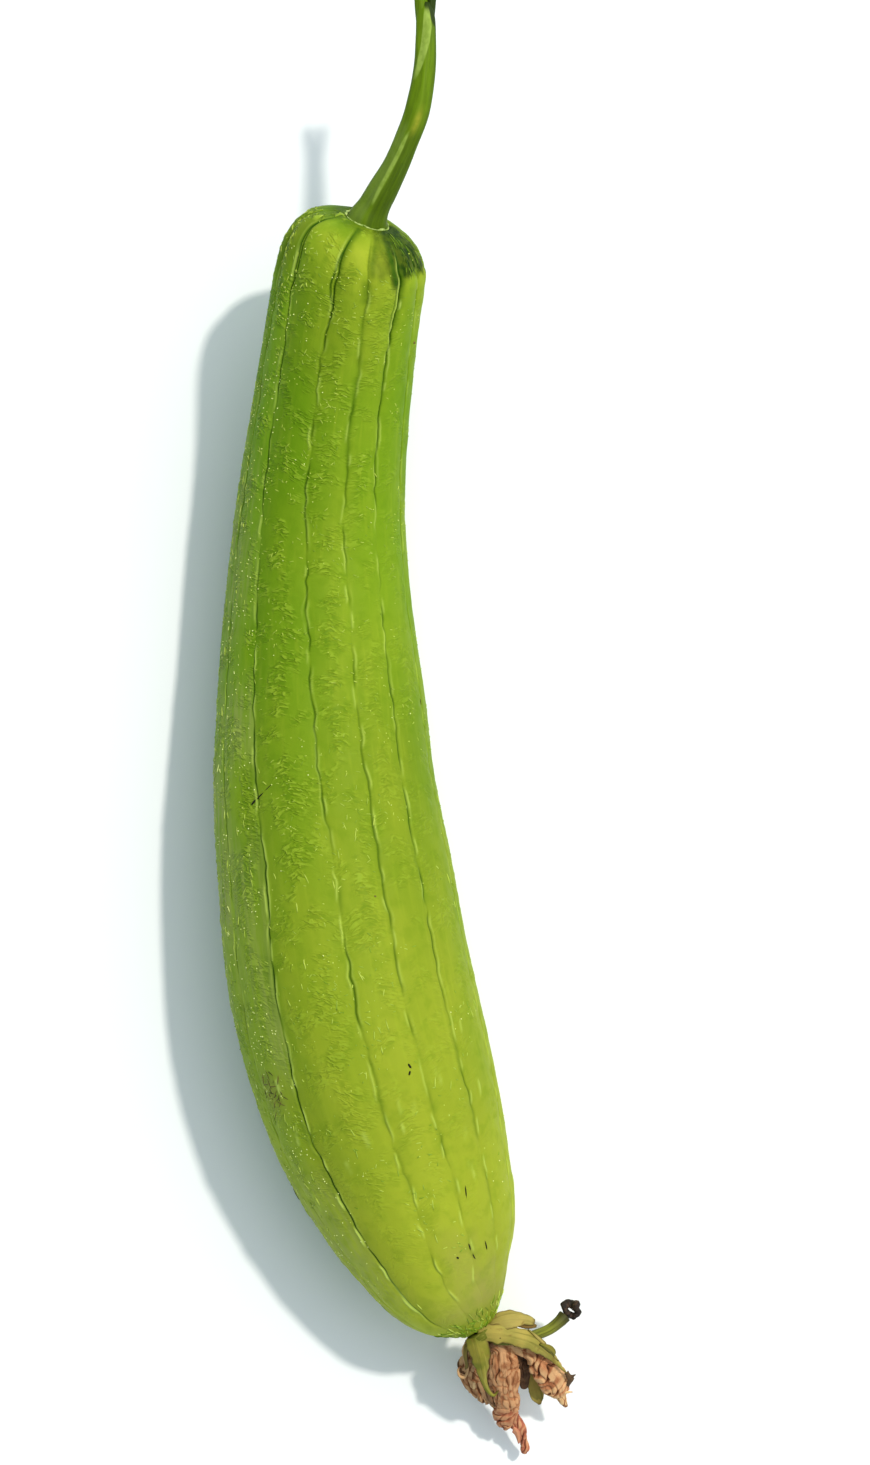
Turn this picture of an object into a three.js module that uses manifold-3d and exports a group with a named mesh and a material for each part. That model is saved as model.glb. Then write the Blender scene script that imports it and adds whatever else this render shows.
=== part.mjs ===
// A sponge gourd, picked, lying on its side on a small flat spot of its thick lower half.
// Millimetres, +Z up. The stem end points along +Y, the blossom end along -Y, and the neck
// rises off the surface. The origin is the middle of the flat spot that the gourd rests on.
// The fruit grew as one piece, and the withered flower still hangs from its tip.

import * as THREE from "three";
import { mergeVertices } from "three/addons/utils/BufferGeometryUtils.js";
import Module from "manifold-3d";

const wasm = await Module();
wasm.setup();

// Driving dimensions of the fruit
// The middle line from the stem end to the tip: station along it, then x, y and z.
const SPINE = [
  [0, 13, 195, 64.3],
  [11.5, 9.4, 185.2, 59.8],
  [27.5, 6.4, 171.4, 53.4],
  [57, 2.4, 146, 44.6],
  [89, -1.9, 114.5, 37.5],
  [121.5, -3.3, 82.7, 32.6],
  [153.5, -3, 50.7, 31.3],
  [185.5, -1.4, 18.6, 33.9],
  [218, 2.2, -13.4, 36.5],
  [250, 7, -45.3, 38],
  [276.5, 13.1, -70.9, 37.3],
  [303.5, 21.1, -96.5, 34.7],
  [330.5, 30.7, -122.1, 35.1],
  [351.5, 38.4, -141.3, 35.8],
  [370.5, 48.6, -157.3, 36.8],
];
// The outline from the stem scar over the shoulder and down to the tip: station and radius.
const OUTLINE = [
  [1.6, 6.2],
  [0.3, 7.4],
  [0.1, 9],
  [1.1, 12],
  [3, 16.2],
  [6.2, 20],
  [12, 22.9],
  [20, 23.9],
  [30, 24.1],
  [57, 24.8],
  [89, 26.5],
  [121.5, 29.5],
  [153.5, 33],
  [185.5, 35.6],
  [218, 37.8],
  [250, 39.3],
  [276.5, 39],
  [303.5, 36.4],
  [330.5, 30.6],
  [345, 25.4],
  [356, 19.8],
  [363.5, 14],
  [368, 8.2],
  [370.3, 5.2],
];
const LONGEST_RING_GAP = 9.5;
// The lines run the length of the fruit. Angles are in degrees from the top, positive towards +X,
// at the stations of LINE_STATIONS. A line with one angle follows the common drift.
const LINE_STATIONS = [16, 96, 224, 288, 352];
const LINE_DRIFT = [-4, -2, 3, 2, 1];
const LINES = [
  [-70, -67, -59, -65, -66],
  [-47, -42, -33.5, -38.5, -38],
  [-12, -8.5, 2, 1.5, -2],
  [17, 18.5, 25, 25, 26],
  [40, 43, 46.5, 48, 50],
  [76],
  [105],
  [134],
  [163],
  [192],
  [223],
  [256],
];
// Where the section is sampled between one line and the next, as a share of the way.
const BAND_SAMPLES = [0, 0.06, 0.3, 0.7, 0.94];
// Station, depth of the line's groove, and how far a band's middle stands out over its edges.
const RELIEF = [
  [0, 0, 0],
  [4, 0.9, 0.7],
  [14, 1.5, 1.5],
  [40, 1, 0.7],
  [120, 0.8, 0.4],
  [300, 0.7, 0.4],
  [352, 0.5, 0.5],
  [368, 0, 0],
];
const GROOVE_HALF_WIDTH = 0.9;
const SURFACE_Z = 0;

// Driving dimensions of the stem: x, y, z and radius, from the scar to the fork.
const STEM = [
  [13.3, 194.9, 64.8, 5.6],
  [14.6, 198, 66.4, 5.2],
  [17.8, 203.6, 69.6, 4.6],
  [21.6, 210.4, 72.6, 4],
  [24.9, 217.6, 75.4, 3.8],
  [28.6, 227.4, 78.2, 3.9],
  [30.8, 239.5, 80.2, 3.4],
  [31.2, 250, 81, 3.1],
  [31.1, 257.5, 81.2, 2.7],
  [31.1, 260.5, 81.2, 1.6],
];
const LEFT_SHOOT = [
  [30.7, 253, 81.2, 2],
  [30.1, 258.5, 81.3, 2.05],
  [29.7, 262.5, 81.6, 1.9],
  [29.4, 267, 82, 1.9],
];
const RIGHT_SHOOT = [
  [31.9, 253, 80.8, 1.7],
  [32.7, 258.5, 80.6, 1.5],
  [33.2, 262.5, 80.3, 1.35],
  [33.6, 267, 80, 1.3],
];
const STEM_RIDGES = 5;
const STEM_RIDGE_SHARE = 0.07;
const STEM_SIDES = 20;
const STEM_STEP = 5;
const SHOOT_SIDES = 10;
const SHOOT_STEP = 4;

// Driving dimensions of the withered flower, measured from the tip of the fruit.
const GAP = 0.35;
const TIP = new THREE.Vector3(48.6, -157.3, 36.8);
const TIP_AXIS = new THREE.Vector3(0.53, -0.845, -0.06).normalize();
const CUP_RADIUS = 4.9;
const CUP_FOOT_RADIUS = 4.6;
const CUP_RIM_RADIUS = 4.7;
const CUP_LENGTH = 3;
const CUP_FLOOR = 1.2;
const CUP_SIDES = 20;
const CORE_RADIUS = 3.3;
const CORE_END_RADIUS = 2;
const CORE_LENGTH = 6.5;
const CORE_STRAIGHT_LENGTH = 4.5;
const CORE_SIDES = 16;
const SEPAL_THICKNESS = 0.8;
const SEPAL_KEEL_SHARE = 0.3;
const SEPAL_STEPS = 9;
// Where a sepal's section is sampled, as a share of its half width.
const SEPAL_ACROSS = [-1, -0.5, 0, 0.5, 1];
// Sepals: x, y and z from the tip, half width, and roll in degrees.
const SEPALS = [
  [
    [-1.5, -2.4, 3.2, 3.2, -14],
    [-0.9, -7.7, 3.4, 3.4, -10],
    [0, -12.5, 1, 2.5, -4],
    [0.6, -15.5, -2, 1.6, 4],
    [1, -18.2, -5.6, 0.5, 10],
  ],
  [
    [4.8, 0.6, 1.6, 1.5, 34],
    [8.6, 4, 2.8, 2.7, 24],
    [12.8, 4.2, 2.2, 2.3, 20],
    [16.8, 2.8, 0.6, 0.7, 20],
  ],
  [
    [3, -1, 3.8, 2.8, 8],
    [7.4, -0.6, 3.9, 3.1, 6],
    [12.2, -1.8, 2.8, 2.9, 8],
    [17, -4.6, 0.4, 2.7, 12],
    [20.8, -7.8, -2.6, 2, 14],
    [23.6, -10.8, -5.8, 0.5, 16],
  ],
  [
    [-3, -3.2, 0.6, 1.7, -70],
    [-5.4, -5.4, 0, 1.8, -80],
    [-6, -9, -1.6, 1.6, -84],
    [-6.6, -12.4, -4, 0.5, -84],
  ],
  [
    [1.4, -0.6, -4, 2.2, 172],
    [8, -3.8, -8.6, 2.5, 172],
    [14, -9.4, -12.6, 2.5, 174],
    [17.4, -15.4, -17.4, 2, 178],
    [19, -19.4, -20.6, 0.9, 180],
  ],
];
// Petals: x, y and z from the tip, half width, half thickness, and roll in degrees.
const PETALS = [
  [
    [3, -3.6, -0.6, 2, 1.8, 0],
    [6.2, -6, -2.4, 3.2, 2, 4],
    [7.3, -10.1, -4.8, 3.9, 2.2, 6],
    [7.7, -15.5, -8.8, 4.2, 2.3, 4],
    [8.2, -21, -13.2, 4.2, 2.4, 0],
    [9, -26.5, -18, 4.4, 2.4, -4],
    [9.4, -31, -22, 3.9, 2.1, -10],
    [11.6, -34.2, -24.4, 2.1, 1.6, -24],
    [13.3, -38, -26.6, 1.4, 1.3, -40],
    [14.5, -43.4, -29.2, 1.3, 1.2, -50],
  ],
  [
    [1.6, -4, -1.4, 1.8, 1.5, 0],
    [-1.2, -7.6, -4.2, 2, 1.6, -6],
    [-3.8, -10.4, -6.8, 2.5, 1.9, -10],
    [-3.6, -14.6, -10.2, 3, 2.1, -8],
    [-2, -18.8, -13.2, 3.3, 2.2, 0],
    [0.6, -22.4, -16.6, 3, 1.9, 8],
    [3, -25.8, -19.4, 1.7, 1.3, 14],
  ],
  [
    [3.4, -3.8, -2, 1.7, 1.5, 0],
    [10.4, -5.6, -4.6, 2.2, 1.8, 10],
    [17.1, -8.5, -6.6, 2.7, 2.4, 16],
    [19.6, -12.5, -9.8, 4.1, 3, 20],
    [22.5, -16.7, -13.2, 4.8, 3.2, 20],
    [24.9, -20.7, -16.2, 4.7, 3, 16],
    [26.4, -24.6, -18.8, 3.2, 2.2, 8],
    [27.1, -27.3, -20.4, 1.4, 1.2, 0],
  ],
  [
    [3.6, -4.2, -2.6, 1.6, 1.4, 0],
    [7.4, -11, -11, 2.3, 1.7, 12],
    [9.4, -17, -17.4, 2.4, 1.7, 16],
    [11, -22, -23, 1.4, 1.1, 20],
  ],
  [
    [1.8, -4, -2.8, 1.6, 1.4, 0],
    [-0.2, -9.2, -10.4, 2.2, 1.7, -16],
    [-1.4, -14.4, -16.8, 2.2, 1.6, -20],
    [0.4, -20.4, -22.4, 1.4, 1.1, -20],
  ],
];
const PETAL_PLEATS = 6;
const PETAL_PLEAT_SHARE = 0.18;
const PETAL_SIDES = 18;
const PETAL_STEP = 2.6;
// The style: x, y and z from the tip, and radius.
const STYLE = [
  [3.4, -3.9, 0.2, 1],
  [9, -4, 0.2, 1],
  [13.6, -3.2, -1.6, 1.1],
  [18.9, -2.2, -5.6, 1.35],
  [22.6, -1, -8.4, 1.5],
  [25.8, 1.2, -10.4, 1.8],
  [27.4, 2.8, -11.2, 2],
];
const STYLE_SIDES = 12;
const STYLE_STEP = 3;
// The dried stigma past the end of the style: distance along it and radius, over the rim
// and back into its hollow.
const STIGMA = [
  [0, 1.7],
  [1.1, 2.5],
  [2.6, 3.1],
  [4, 2.9],
  [4.6, 2.2],
  [3.4, 1.5],
  [2, 0.9],
];
const STIGMA_LOBES = 3;
const STIGMA_LOBE_SHARE = 0.2;
const STIGMA_SIDES = 15;

const MERGE_DISTANCE = 1e-4;
const DEGREE = Math.PI / 180;
const UP = new THREE.Vector3(0, 0, 1);

// A smooth curve through rows of numbers, whose first column is the place along it.
function smoothRows(rows) {
  const slope = (i, k) => {
    const before = rows[Math.max(i - 1, 0)];
    const after = rows[Math.min(i + 1, rows.length - 1)];
    return (after[k] - before[k]) / (after[0] - before[0]);
  };
  return (place) => {
    let i = 0;
    while (i < rows.length - 2 && place > rows[i + 1][0]) i += 1;
    const span = rows[i + 1][0] - rows[i][0];
    const t = (place - rows[i][0]) / span;
    const startShare = (1 + 2 * t) * (1 - t) ** 2;
    const startSlope = t * (1 - t) ** 2 * span;
    const endSlope = t * t * (t - 1) * span;
    return rows[i].slice(1).map((start, column) => {
      const k = column + 1;
      const end = rows[i + 1][k];
      return start * startShare + end * (1 - startShare) +
        slope(i, k) * startSlope + slope(i + 1, k) * endSlope;
    });
  };
}

// Straight lines through rows of numbers, held level past both ends.
function straightRows(rows) {
  return (place) => {
    let i = 0;
    while (i < rows.length - 2 && place > rows[i + 1][0]) i += 1;
    const share = (place - rows[i][0]) / (rows[i + 1][0] - rows[i][0]);
    const t = Math.min(Math.max(share, 0), 1);
    return rows[i].slice(1).map((start, k) => start + (rows[i + 1][k + 1] - start) * t);
  };
}

// Rows of numbers that begin with x, y and z, with their distance along the chain put first.
function withDistance(rows) {
  let distance = 0;
  return rows.map((row, i) => {
    if (i > 0) {
      const before = rows[i - 1];
      distance += Math.hypot(row[0] - before[0], row[1] - before[1], row[2] - before[2]);
    }
    return [distance, ...row];
  });
}

// A closed mesh over rings of points, each ring anticlockwise as seen from the far end.
function loft(rings) {
  const sides = rings[0].length;
  const points = rings.flat();
  const faces = [];
  for (let i = 0; i < rings.length - 1; i += 1) {
    for (let j = 0; j < sides; j += 1) {
      const a = i * sides + j;
      const b = i * sides + ((j + 1) % sides);
      faces.push(a, b, b + sides, a, b + sides, a + sides);
    }
  }
  const middle = (ring) =>
    ring.reduce((sum, p) => sum.add(p), new THREE.Vector3()).divideScalar(sides);
  const last = (rings.length - 1) * sides;
  points.push(middle(rings[0]), middle(rings[rings.length - 1]));
  for (let j = 0; j < sides; j += 1) {
    const next = (j + 1) % sides;
    faces.push(points.length - 2, next, j);
    faces.push(points.length - 1, last + j, last + next);
  }
  const geometry = new THREE.BufferGeometry().setFromPoints(points);
  geometry.setIndex(faces);
  return geometry;
}

// The frame of a curve at a place: its point, direction, level side vector and upper side vector.
function frameAt(curve, place, step = 0.2) {
  const at = (s) => new THREE.Vector3(...curve(s).slice(0, 3));
  const along = at(place + step).sub(at(place - step)).normalize();
  const side = new THREE.Vector3().crossVectors(UP, along).normalize();
  const upper = new THREE.Vector3().crossVectors(along, side);
  return { point: at(place), along, side, upper };
}

// The same frame, rolled about the curve's direction by so many degrees.
function rolledFrameAt(curve, place, roll) {
  const frame = frameAt(curve, place);
  frame.side.applyAxisAngle(frame.along, -roll * DEGREE);
  frame.upper.applyAxisAngle(frame.along, -roll * DEGREE);
  return frame;
}

// The point of a section at so far sideways and so far up.
function sectionPoint({ point, side, upper }, sideways, upwards) {
  return point.clone().addScaledVector(side, sideways).addScaledVector(upper, upwards);
}

// A ring of points round a frame, whose half width and half height may change with the angle.
function ringRound(frame, sides, halfWidthAt, halfHeightAt = halfWidthAt) {
  const ring = [];
  for (let j = 0; j < sides; j += 1) {
    const angle = (-2 * Math.PI * j) / sides;
    const sideways = halfWidthAt(angle) * Math.sin(angle);
    ring.push(sectionPoint(frame, sideways, halfHeightAt(angle) * Math.cos(angle)));
  }
  return ring;
}

function toSolid(geometry) {
  const plain = geometry.clone();
  plain.deleteAttribute("normal");
  plain.deleteAttribute("uv");
  const merged = mergeVertices(plain, MERGE_DISTANCE);
  return new wasm.Manifold(
    new wasm.Mesh({
      numProp: 3,
      vertProperties: merged.attributes.position.array,
      triVerts: new Uint32Array(merged.index.array),
    }),
  );
}

function toGeometry(solid) {
  const mesh = solid.getMesh();
  const geometry = new THREE.BufferGeometry();
  geometry.setAttribute("position", new THREE.BufferAttribute(mesh.vertProperties, mesh.numProp));
  geometry.setIndex(new THREE.BufferAttribute(mesh.triVerts, 1));
  return geometry;
}

function joined(geometries) {
  return geometries.map(toSolid).reduce((all, next) => all.add(next));
}

function meshOf(name, geometry, color, roughness) {
  geometry.computeVertexNormals();
  const material = new THREE.MeshStandardMaterial({ color, roughness, metalness: 0 });
  const mesh = new THREE.Mesh(geometry, material);
  mesh.name = name;
  return mesh;
}

// The angles of the lines at a station, in radians, in order round the fruit.
const driftAt = straightRows(LINE_STATIONS.map((station, i) => [station, LINE_DRIFT[i]]));
const lineCurves = LINES.map((angles) =>
  angles.length === 1
    ? (station) => angles[0] + driftAt(station)[0]
    : (station) => straightRows(LINE_STATIONS.map((place, i) => [place, angles[i]]))(station)[0],
);
function lineAngles(station) {
  return lineCurves.map((curve) => curve(station) * DEGREE);
}

// The stations and radii of the fruit's rings, close together where the outline turns.
function fruitRings() {
  const rows = OUTLINE.map(([station, radius]) => [station, radius, 0]);
  const outline = withDistance(rows);
  const curve = smoothRows(outline);
  const rings = [];
  for (let i = 0; i < outline.length - 1; i += 1) {
    const span = outline[i + 1][0] - outline[i][0];
    const steps = Math.ceil(span / LONGEST_RING_GAP);
    for (let k = 0; k < steps; k += 1) rings.push(curve(outline[i][0] + (span * k) / steps));
  }
  rings.push(curve(outline[outline.length - 1][0]));
  return rings;
}

// The fruit: one closed skin with its lines as grooves and its bands a little proud between them,
// pressed flat where it rests.
function fruit() {
  const spine = smoothRows(SPINE);
  const relief = straightRows(RELIEF);
  const rings = fruitRings().map(([station, radius]) => {
    const frame = frameAt(spine, station);
    const [groove, bulge] = relief(station);
    const angles = lineAngles(station);
    const ring = [];
    angles.forEach((start, line) => {
      const end = line + 1 < angles.length ? angles[line + 1] : angles[0] + 2 * Math.PI;
      for (const share of BAND_SAMPLES) {
        const angle = start + (end - start) * share;
        const fromLine = Math.min(share, 1 - share) * (end - start) * radius;
        const inGroove = Math.exp(-((fromLine / GROOVE_HALF_WIDTH) ** 2));
        const reach = radius - bulge * (2 * share - 1) ** 2 - groove * inGroove;
        const point = sectionPoint(frame, reach * Math.sin(angle), reach * Math.cos(angle));
        point.z = Math.max(point.z, SURFACE_Z);
        ring.push(point);
      }
    });
    return ring;
  });
  return meshOf("fruit", loft(rings.map((ring) => ring.reverse())), 0x8fb52c, 0.5);
}

// A round or ridged stalk through rows of x, y, z and radius.
function stalk(rows, sides, stepLength, ridges = 0, ridgeShare = 0) {
  const measured = withDistance(rows);
  const curve = smoothRows(measured);
  const length = measured[measured.length - 1][0];
  const steps = Math.ceil(length / stepLength);
  const rings = [];
  for (let i = 0; i <= steps; i += 1) {
    const place = (length * i) / steps;
    const radius = curve(place)[3];
    const reach = (angle) => radius * (1 + ridgeShare * Math.cos(ridges * angle));
    rings.push(ringRound(frameAt(curve, place), sides, reach));
  }
  return loft(rings);
}

function peduncle() {
  const solid = joined([
    stalk(STEM, STEM_SIDES, STEM_STEP, STEM_RIDGES, STEM_RIDGE_SHARE),
    stalk(LEFT_SHOOT, SHOOT_SIDES, SHOOT_STEP),
    stalk(RIGHT_SHOOT, SHOOT_SIDES, SHOOT_STEP),
  ]);
  return meshOf("peduncle", toGeometry(solid), 0x6f9a24, 0.6);
}

// The same rows moved from the tip of the fruit to their place.
function fromTip(rows) {
  return rows.map(([x, y, z, ...rest]) => [x + TIP.x, y + TIP.y, z + TIP.z, ...rest]);
}

// A turned shape round the axis of the fruit's tip, from pairs of distance along it and radius.
function turnedAtTip(profile, sides) {
  const points = profile.map(([distance, radius]) => new THREE.Vector2(radius, distance));
  const geometry = new THREE.LatheGeometry(points, sides);
  const turn = new THREE.Quaternion().setFromUnitVectors(new THREE.Vector3(0, 1, 0), TIP_AXIS);
  return geometry.applyQuaternion(turn).translate(TIP.x, TIP.y, TIP.z);
}

// A thin leaf with a keel down its middle, through rows of x, y, z, half width and roll.
function sepal(rows) {
  const measured = withDistance(fromTip(rows));
  const curve = smoothRows(measured);
  const length = measured[measured.length - 1][0];
  const rings = [];
  for (let i = 0; i <= SEPAL_STEPS; i += 1) {
    const place = (length * i) / SEPAL_STEPS;
    const [, , , halfWidth, roll] = curve(place);
    const frame = rolledFrameAt(curve, place, roll);
    const keel = (share) => SEPAL_KEEL_SHARE * halfWidth * (1 - Math.abs(share));
    const under = SEPAL_ACROSS.map((share) =>
      sectionPoint(frame, share * halfWidth, keel(share) - SEPAL_THICKNESS / 2));
    const top = SEPAL_ACROSS.map((share) =>
      sectionPoint(frame, -share * halfWidth, keel(share) + SEPAL_THICKNESS / 2));
    rings.push([...under, ...top]);
  }
  return loft(rings);
}

function calyx() {
  const cup = turnedAtTip(
    [
      [GAP, 0],
      [GAP, CUP_FOOT_RADIUS],
      [CUP_LENGTH / 2, CUP_RADIUS],
      [CUP_LENGTH, CUP_RIM_RADIUS],
      [CUP_LENGTH, CORE_RADIUS + GAP],
      [CUP_FLOOR, CORE_RADIUS + GAP],
      [CUP_FLOOR, 0],
    ],
    CUP_SIDES,
  );
  return joined([cup, ...SEPALS.map(sepal)]);
}

// A pleated, shrivelled petal through rows of x, y, z, half width, half thickness and roll.
function petal(rows) {
  const measured = withDistance(fromTip(rows));
  const curve = smoothRows(measured);
  const length = measured[measured.length - 1][0];
  const steps = Math.ceil(length / PETAL_STEP);
  const pleat = (angle) => 1 + PETAL_PLEAT_SHARE * Math.cos(PETAL_PLEATS * angle);
  const rings = [];
  for (let i = 0; i <= steps; i += 1) {
    const place = (length * i) / steps;
    const [, , , halfWidth, halfThickness, roll] = curve(place);
    const frame = rolledFrameAt(curve, place, roll);
    const ring = ringRound(
      frame,
      PETAL_SIDES,
      (angle) => halfWidth * pleat(angle),
      (angle) => halfThickness * pleat(angle),
    );
    rings.push(ring);
  }
  return loft(rings);
}

function corolla() {
  const core = turnedAtTip(
    [
      [CUP_FLOOR + GAP, 0],
      [CUP_FLOOR + GAP, CORE_RADIUS],
      [CORE_STRAIGHT_LENGTH, CORE_RADIUS],
      [CORE_LENGTH, CORE_END_RADIUS],
      [CORE_LENGTH, 0],
    ],
    CORE_SIDES,
  );
  return joined([core, ...PETALS.map(petal)]);
}

const styleRows = fromTip(STYLE);

function style() {
  return stalk(styleRows, STYLE_SIDES, STYLE_STEP);
}

// The style with room round it and before its root, to cut its way through what it passes.
function roomForStyle() {
  const wider = styleRows.map(([x, y, z, radius]) => [x, y, z, radius + GAP]);
  const [first, second] = styleRows.map(([x, y, z]) => new THREE.Vector3(x, y, z));
  const before = first.clone().addScaledVector(second.sub(first).normalize(), -GAP);
  wider[0] = [...before.toArray(), wider[0][3]];
  return toSolid(stalk(wider, STYLE_SIDES, STYLE_STEP));
}

function stigma() {
  const measured = withDistance(styleRows);
  const end = measured[measured.length - 1][0];
  const frame = frameAt(smoothRows(measured), end);
  const lobes = (angle) => 1 + STIGMA_LOBE_SHARE * Math.cos(STIGMA_LOBES * angle);
  const rings = STIGMA.map(([distance, radius]) => {
    const ring = ringRound(frame, STIGMA_SIDES, (angle) => radius * lobes(angle));
    return ring.map((point) => point.addScaledVector(frame.along, distance + GAP));
  });
  return meshOf("stigma", loft(rings), 0x3a2c22, 0.9);
}

const gourd = new THREE.Group();
gourd.add(
  fruit(),
  peduncle(),
  meshOf("calyx", toGeometry(calyx()), 0xa8a43c, 0.75),
  meshOf("withered_corolla", toGeometry(corolla().subtract(roomForStyle())), 0x9c6a4a, 0.85),
  meshOf("style", style(), 0x7d9a34, 0.6),
  stigma(),
);

export default gourd;
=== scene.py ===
import bpy
import numpy as np
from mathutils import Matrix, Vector


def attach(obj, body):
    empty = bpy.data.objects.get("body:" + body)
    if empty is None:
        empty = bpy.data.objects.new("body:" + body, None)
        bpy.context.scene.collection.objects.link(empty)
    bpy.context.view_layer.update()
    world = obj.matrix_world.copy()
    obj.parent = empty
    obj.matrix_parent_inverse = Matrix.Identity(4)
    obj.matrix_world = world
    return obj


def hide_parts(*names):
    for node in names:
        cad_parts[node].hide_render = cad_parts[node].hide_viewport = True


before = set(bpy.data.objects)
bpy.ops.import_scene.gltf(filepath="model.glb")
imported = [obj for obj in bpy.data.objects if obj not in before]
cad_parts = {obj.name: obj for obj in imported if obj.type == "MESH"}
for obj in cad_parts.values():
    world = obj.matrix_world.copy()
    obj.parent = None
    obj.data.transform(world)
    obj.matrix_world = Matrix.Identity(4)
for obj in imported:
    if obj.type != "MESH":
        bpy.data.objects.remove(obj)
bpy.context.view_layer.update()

MM = 0.001
# How far light reaches into the fruit and the stem, as a factor on each colour's own reach.
INNER_LIGHT_SCALE = 0.4

# The fruit's middle line from the stem end to the tip: station along it, then x, y and z.
SPINE = [
    [0, 13, 195, 64.3], [11.5, 9.4, 185.2, 59.8], [27.5, 6.4, 171.4, 53.4], [57, 2.4, 146, 44.6],
    [89, -1.9, 114.5, 37.5], [121.5, -3.3, 82.7, 32.6], [153.5, -3, 50.7, 31.3],
    [185.5, -1.4, 18.6, 33.9], [218, 2.2, -13.4, 36.5], [250, 7, -45.3, 38],
    [276.5, 13.1, -70.9, 37.3], [303.5, 21.1, -96.5, 34.7], [330.5, 30.7, -122.1, 35.1],
    [351.5, 38.4, -141.3, 35.8], [370.5, 48.6, -157.3, 36.8],
]
# The outline from the stem scar over the shoulder and down to the tip: station and radius.
OUTLINE = [
    [1.6, 6.2], [0.3, 7.4], [0.1, 9], [1.1, 12], [3, 16.2], [6.2, 20], [12, 22.9], [20, 23.9],
    [30, 24.1], [57, 24.8], [89, 26.5], [121.5, 29.5], [153.5, 33], [185.5, 35.6], [218, 37.8],
    [250, 39.3], [276.5, 39], [303.5, 36.4], [330.5, 30.6], [345, 25.4], [356, 19.8], [363.5, 14],
    [368, 8.2], [370.3, 5.2],
]
FRUIT_LENGTH = 370
# Each line's angles in degrees from the top, positive towards +X, at LINE_STATIONS. A line with
# only one angle keeps to it, apart from LINE_DRIFT.
LINE_STATIONS = [5, 18, 45, 96, 224, 288, 352]
LINE_DRIFT = [-4, -4, -3, -2, 3, 2, 1]
LINES = [
    [-80, -70, -69, -67, -59, -65, -66],
    [-54, -48, -45, -42, -33.5, -38.5, -38],
    [-7, -9, -10.5, -8.5, 2, 1.5, -2],
    [17, 17, 17.5, 18.5, 25, 25, 26],
    [48, 48, 41.5, 43, 46.5, 48, 50],
    [76], [105], [134], [163], [194], [229], [271],
]
# How strong each visible line is at LINE_STATIONS, from 0 to 1, and how strong the rest are.
LINE_STRENGTH = [
    [0.5, 0.5, 0.5, 0.5, 0.4, 0.4, 0.4],
    [0.9, 0.75, 0.6, 0.62, 0.9, 1, 1],
    [0.9, 0.75, 0.55, 0.52, 0.55, 0.55, 0.35],
    [0.3, 0.28, 0.3, 0.4, 0.45, 0.35, 0.3],
    [1, 0.9, 0.75, 0.6, 0.65, 0.5, 0.25],
]
HIDDEN_STRENGTH = 0.6
STRONG_LINE = 0.9
# Station, depth of the lines' grooves, and how far a band's middle stands out over its edges.
RELIEF = [
    [0, 0, 0], [4, 0.4, 0.6], [14, 0.65, 1.3], [40, 0.65, 0.8], [120, 0.55, 0.5], [300, 0.5, 0.45],
    [352, 0.4, 0.5], [368, 0, 0],
]
# Second creases that leave a line and come back to it: line, first and last station, and reach.
FORKS = [[2, 6, 24, -1.3], [1, 3, 22, 1.6], [4, 6, 36, -1.7]]
# Soft dark painted shade beside the lines, as on the sides of their grooves: line, first and last
# station, offset, half width, strength.
# A shade longer than LONG_SHADE is broken into patches.
SHADES = [
    [1, 0, 13, 0, 0.7, 0.75], [1, 3, 16, -0.6, 2.2, 0.35], [2, -3, 14, 0.4, 1.2, 0.65],
    [2, 11, 17, 0.8, 1.8, 0.3], [3, 1, 13, 1.2, 1, 0.4], [3, 12, 21, -0.4, 1.8, 0.5],
    [3, 18, 90, 0, 0.9, 0.35], [4, 4, 34, 0.4, 1.2, 0.6], [4, 1, 15, -2.6, 1.1, 0.7],
    [4, 28, 60, 0.2, 0.9, 0.3], [1, 150, 356, -1, 1.8, 0.3], [2, 190, 352, 0.3, 0.8, 0.34],
    [3, 170, 346, 0, 0.8, 0.3], [4, 200, 354, -0.2, 0.8, 0.34],
]
LONG_SHADE = 100

# The fine skin: its rings, its columns in each band, how they crowd at the lines, and its relief.
# The rings before FIRST_SKIN_RING dip in towards the stem, and no marks lie on them.
SKIN_RINGS = 384
FIRST_SKIN_RING = 5
BAND_COLUMNS = [23, 32, 27, 22, 32, 26, 12, 12, 12, 12, 14, 25]
CROWDING = 0.72
GROOVE_HALF_WIDTH = 0.31
FULL_GROOVE = 0.4
LIP_OFFSET = 0.95
LIP_HALF_WIDTH = 0.32
LIP_HEIGHT = 0.2
LINE_WANDER = 0.6
BROAD_LUMPS = 0.35
FINE_LUMPS = 0.1
WRINKLE_HEIGHT = 0.1
WRINKLE_LENGTH = 3.2
# How far apart the lines' paths lie in the noise that varies along them.
LINE_SPACING = 40.0
# Stitches are short raised dashes beside the lines, fine before STITCH_STATION and bold after it:
# ranges of length, slant, height and the gap to the next. Loose ones lie further from the lines:
# ranges of station, offset, slant and length, how many for each line, and their height.
STITCH_STATION = 290
STITCH_START = (10, 20)
STITCH_END = 356
STITCH_SEED = 21
STITCH_HALF_WIDTH = 0.38
STITCH_OFFSET = (0.5, 0.85)
FINE_STITCH = ((4, 13), (-0.4, 0.4), (0.12, 0.3), (2, 9))
BOLD_STITCH = ((5, 8), (-0.9, 0.9), (0.3, 0.42), (3, 8))
LOOSE_STITCH = ((262, 345), (4.5, 8), (-1, 1), (5, 8))
LOOSE_COUNT = 3
LOOSE_HEIGHT = 0.36
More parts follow.
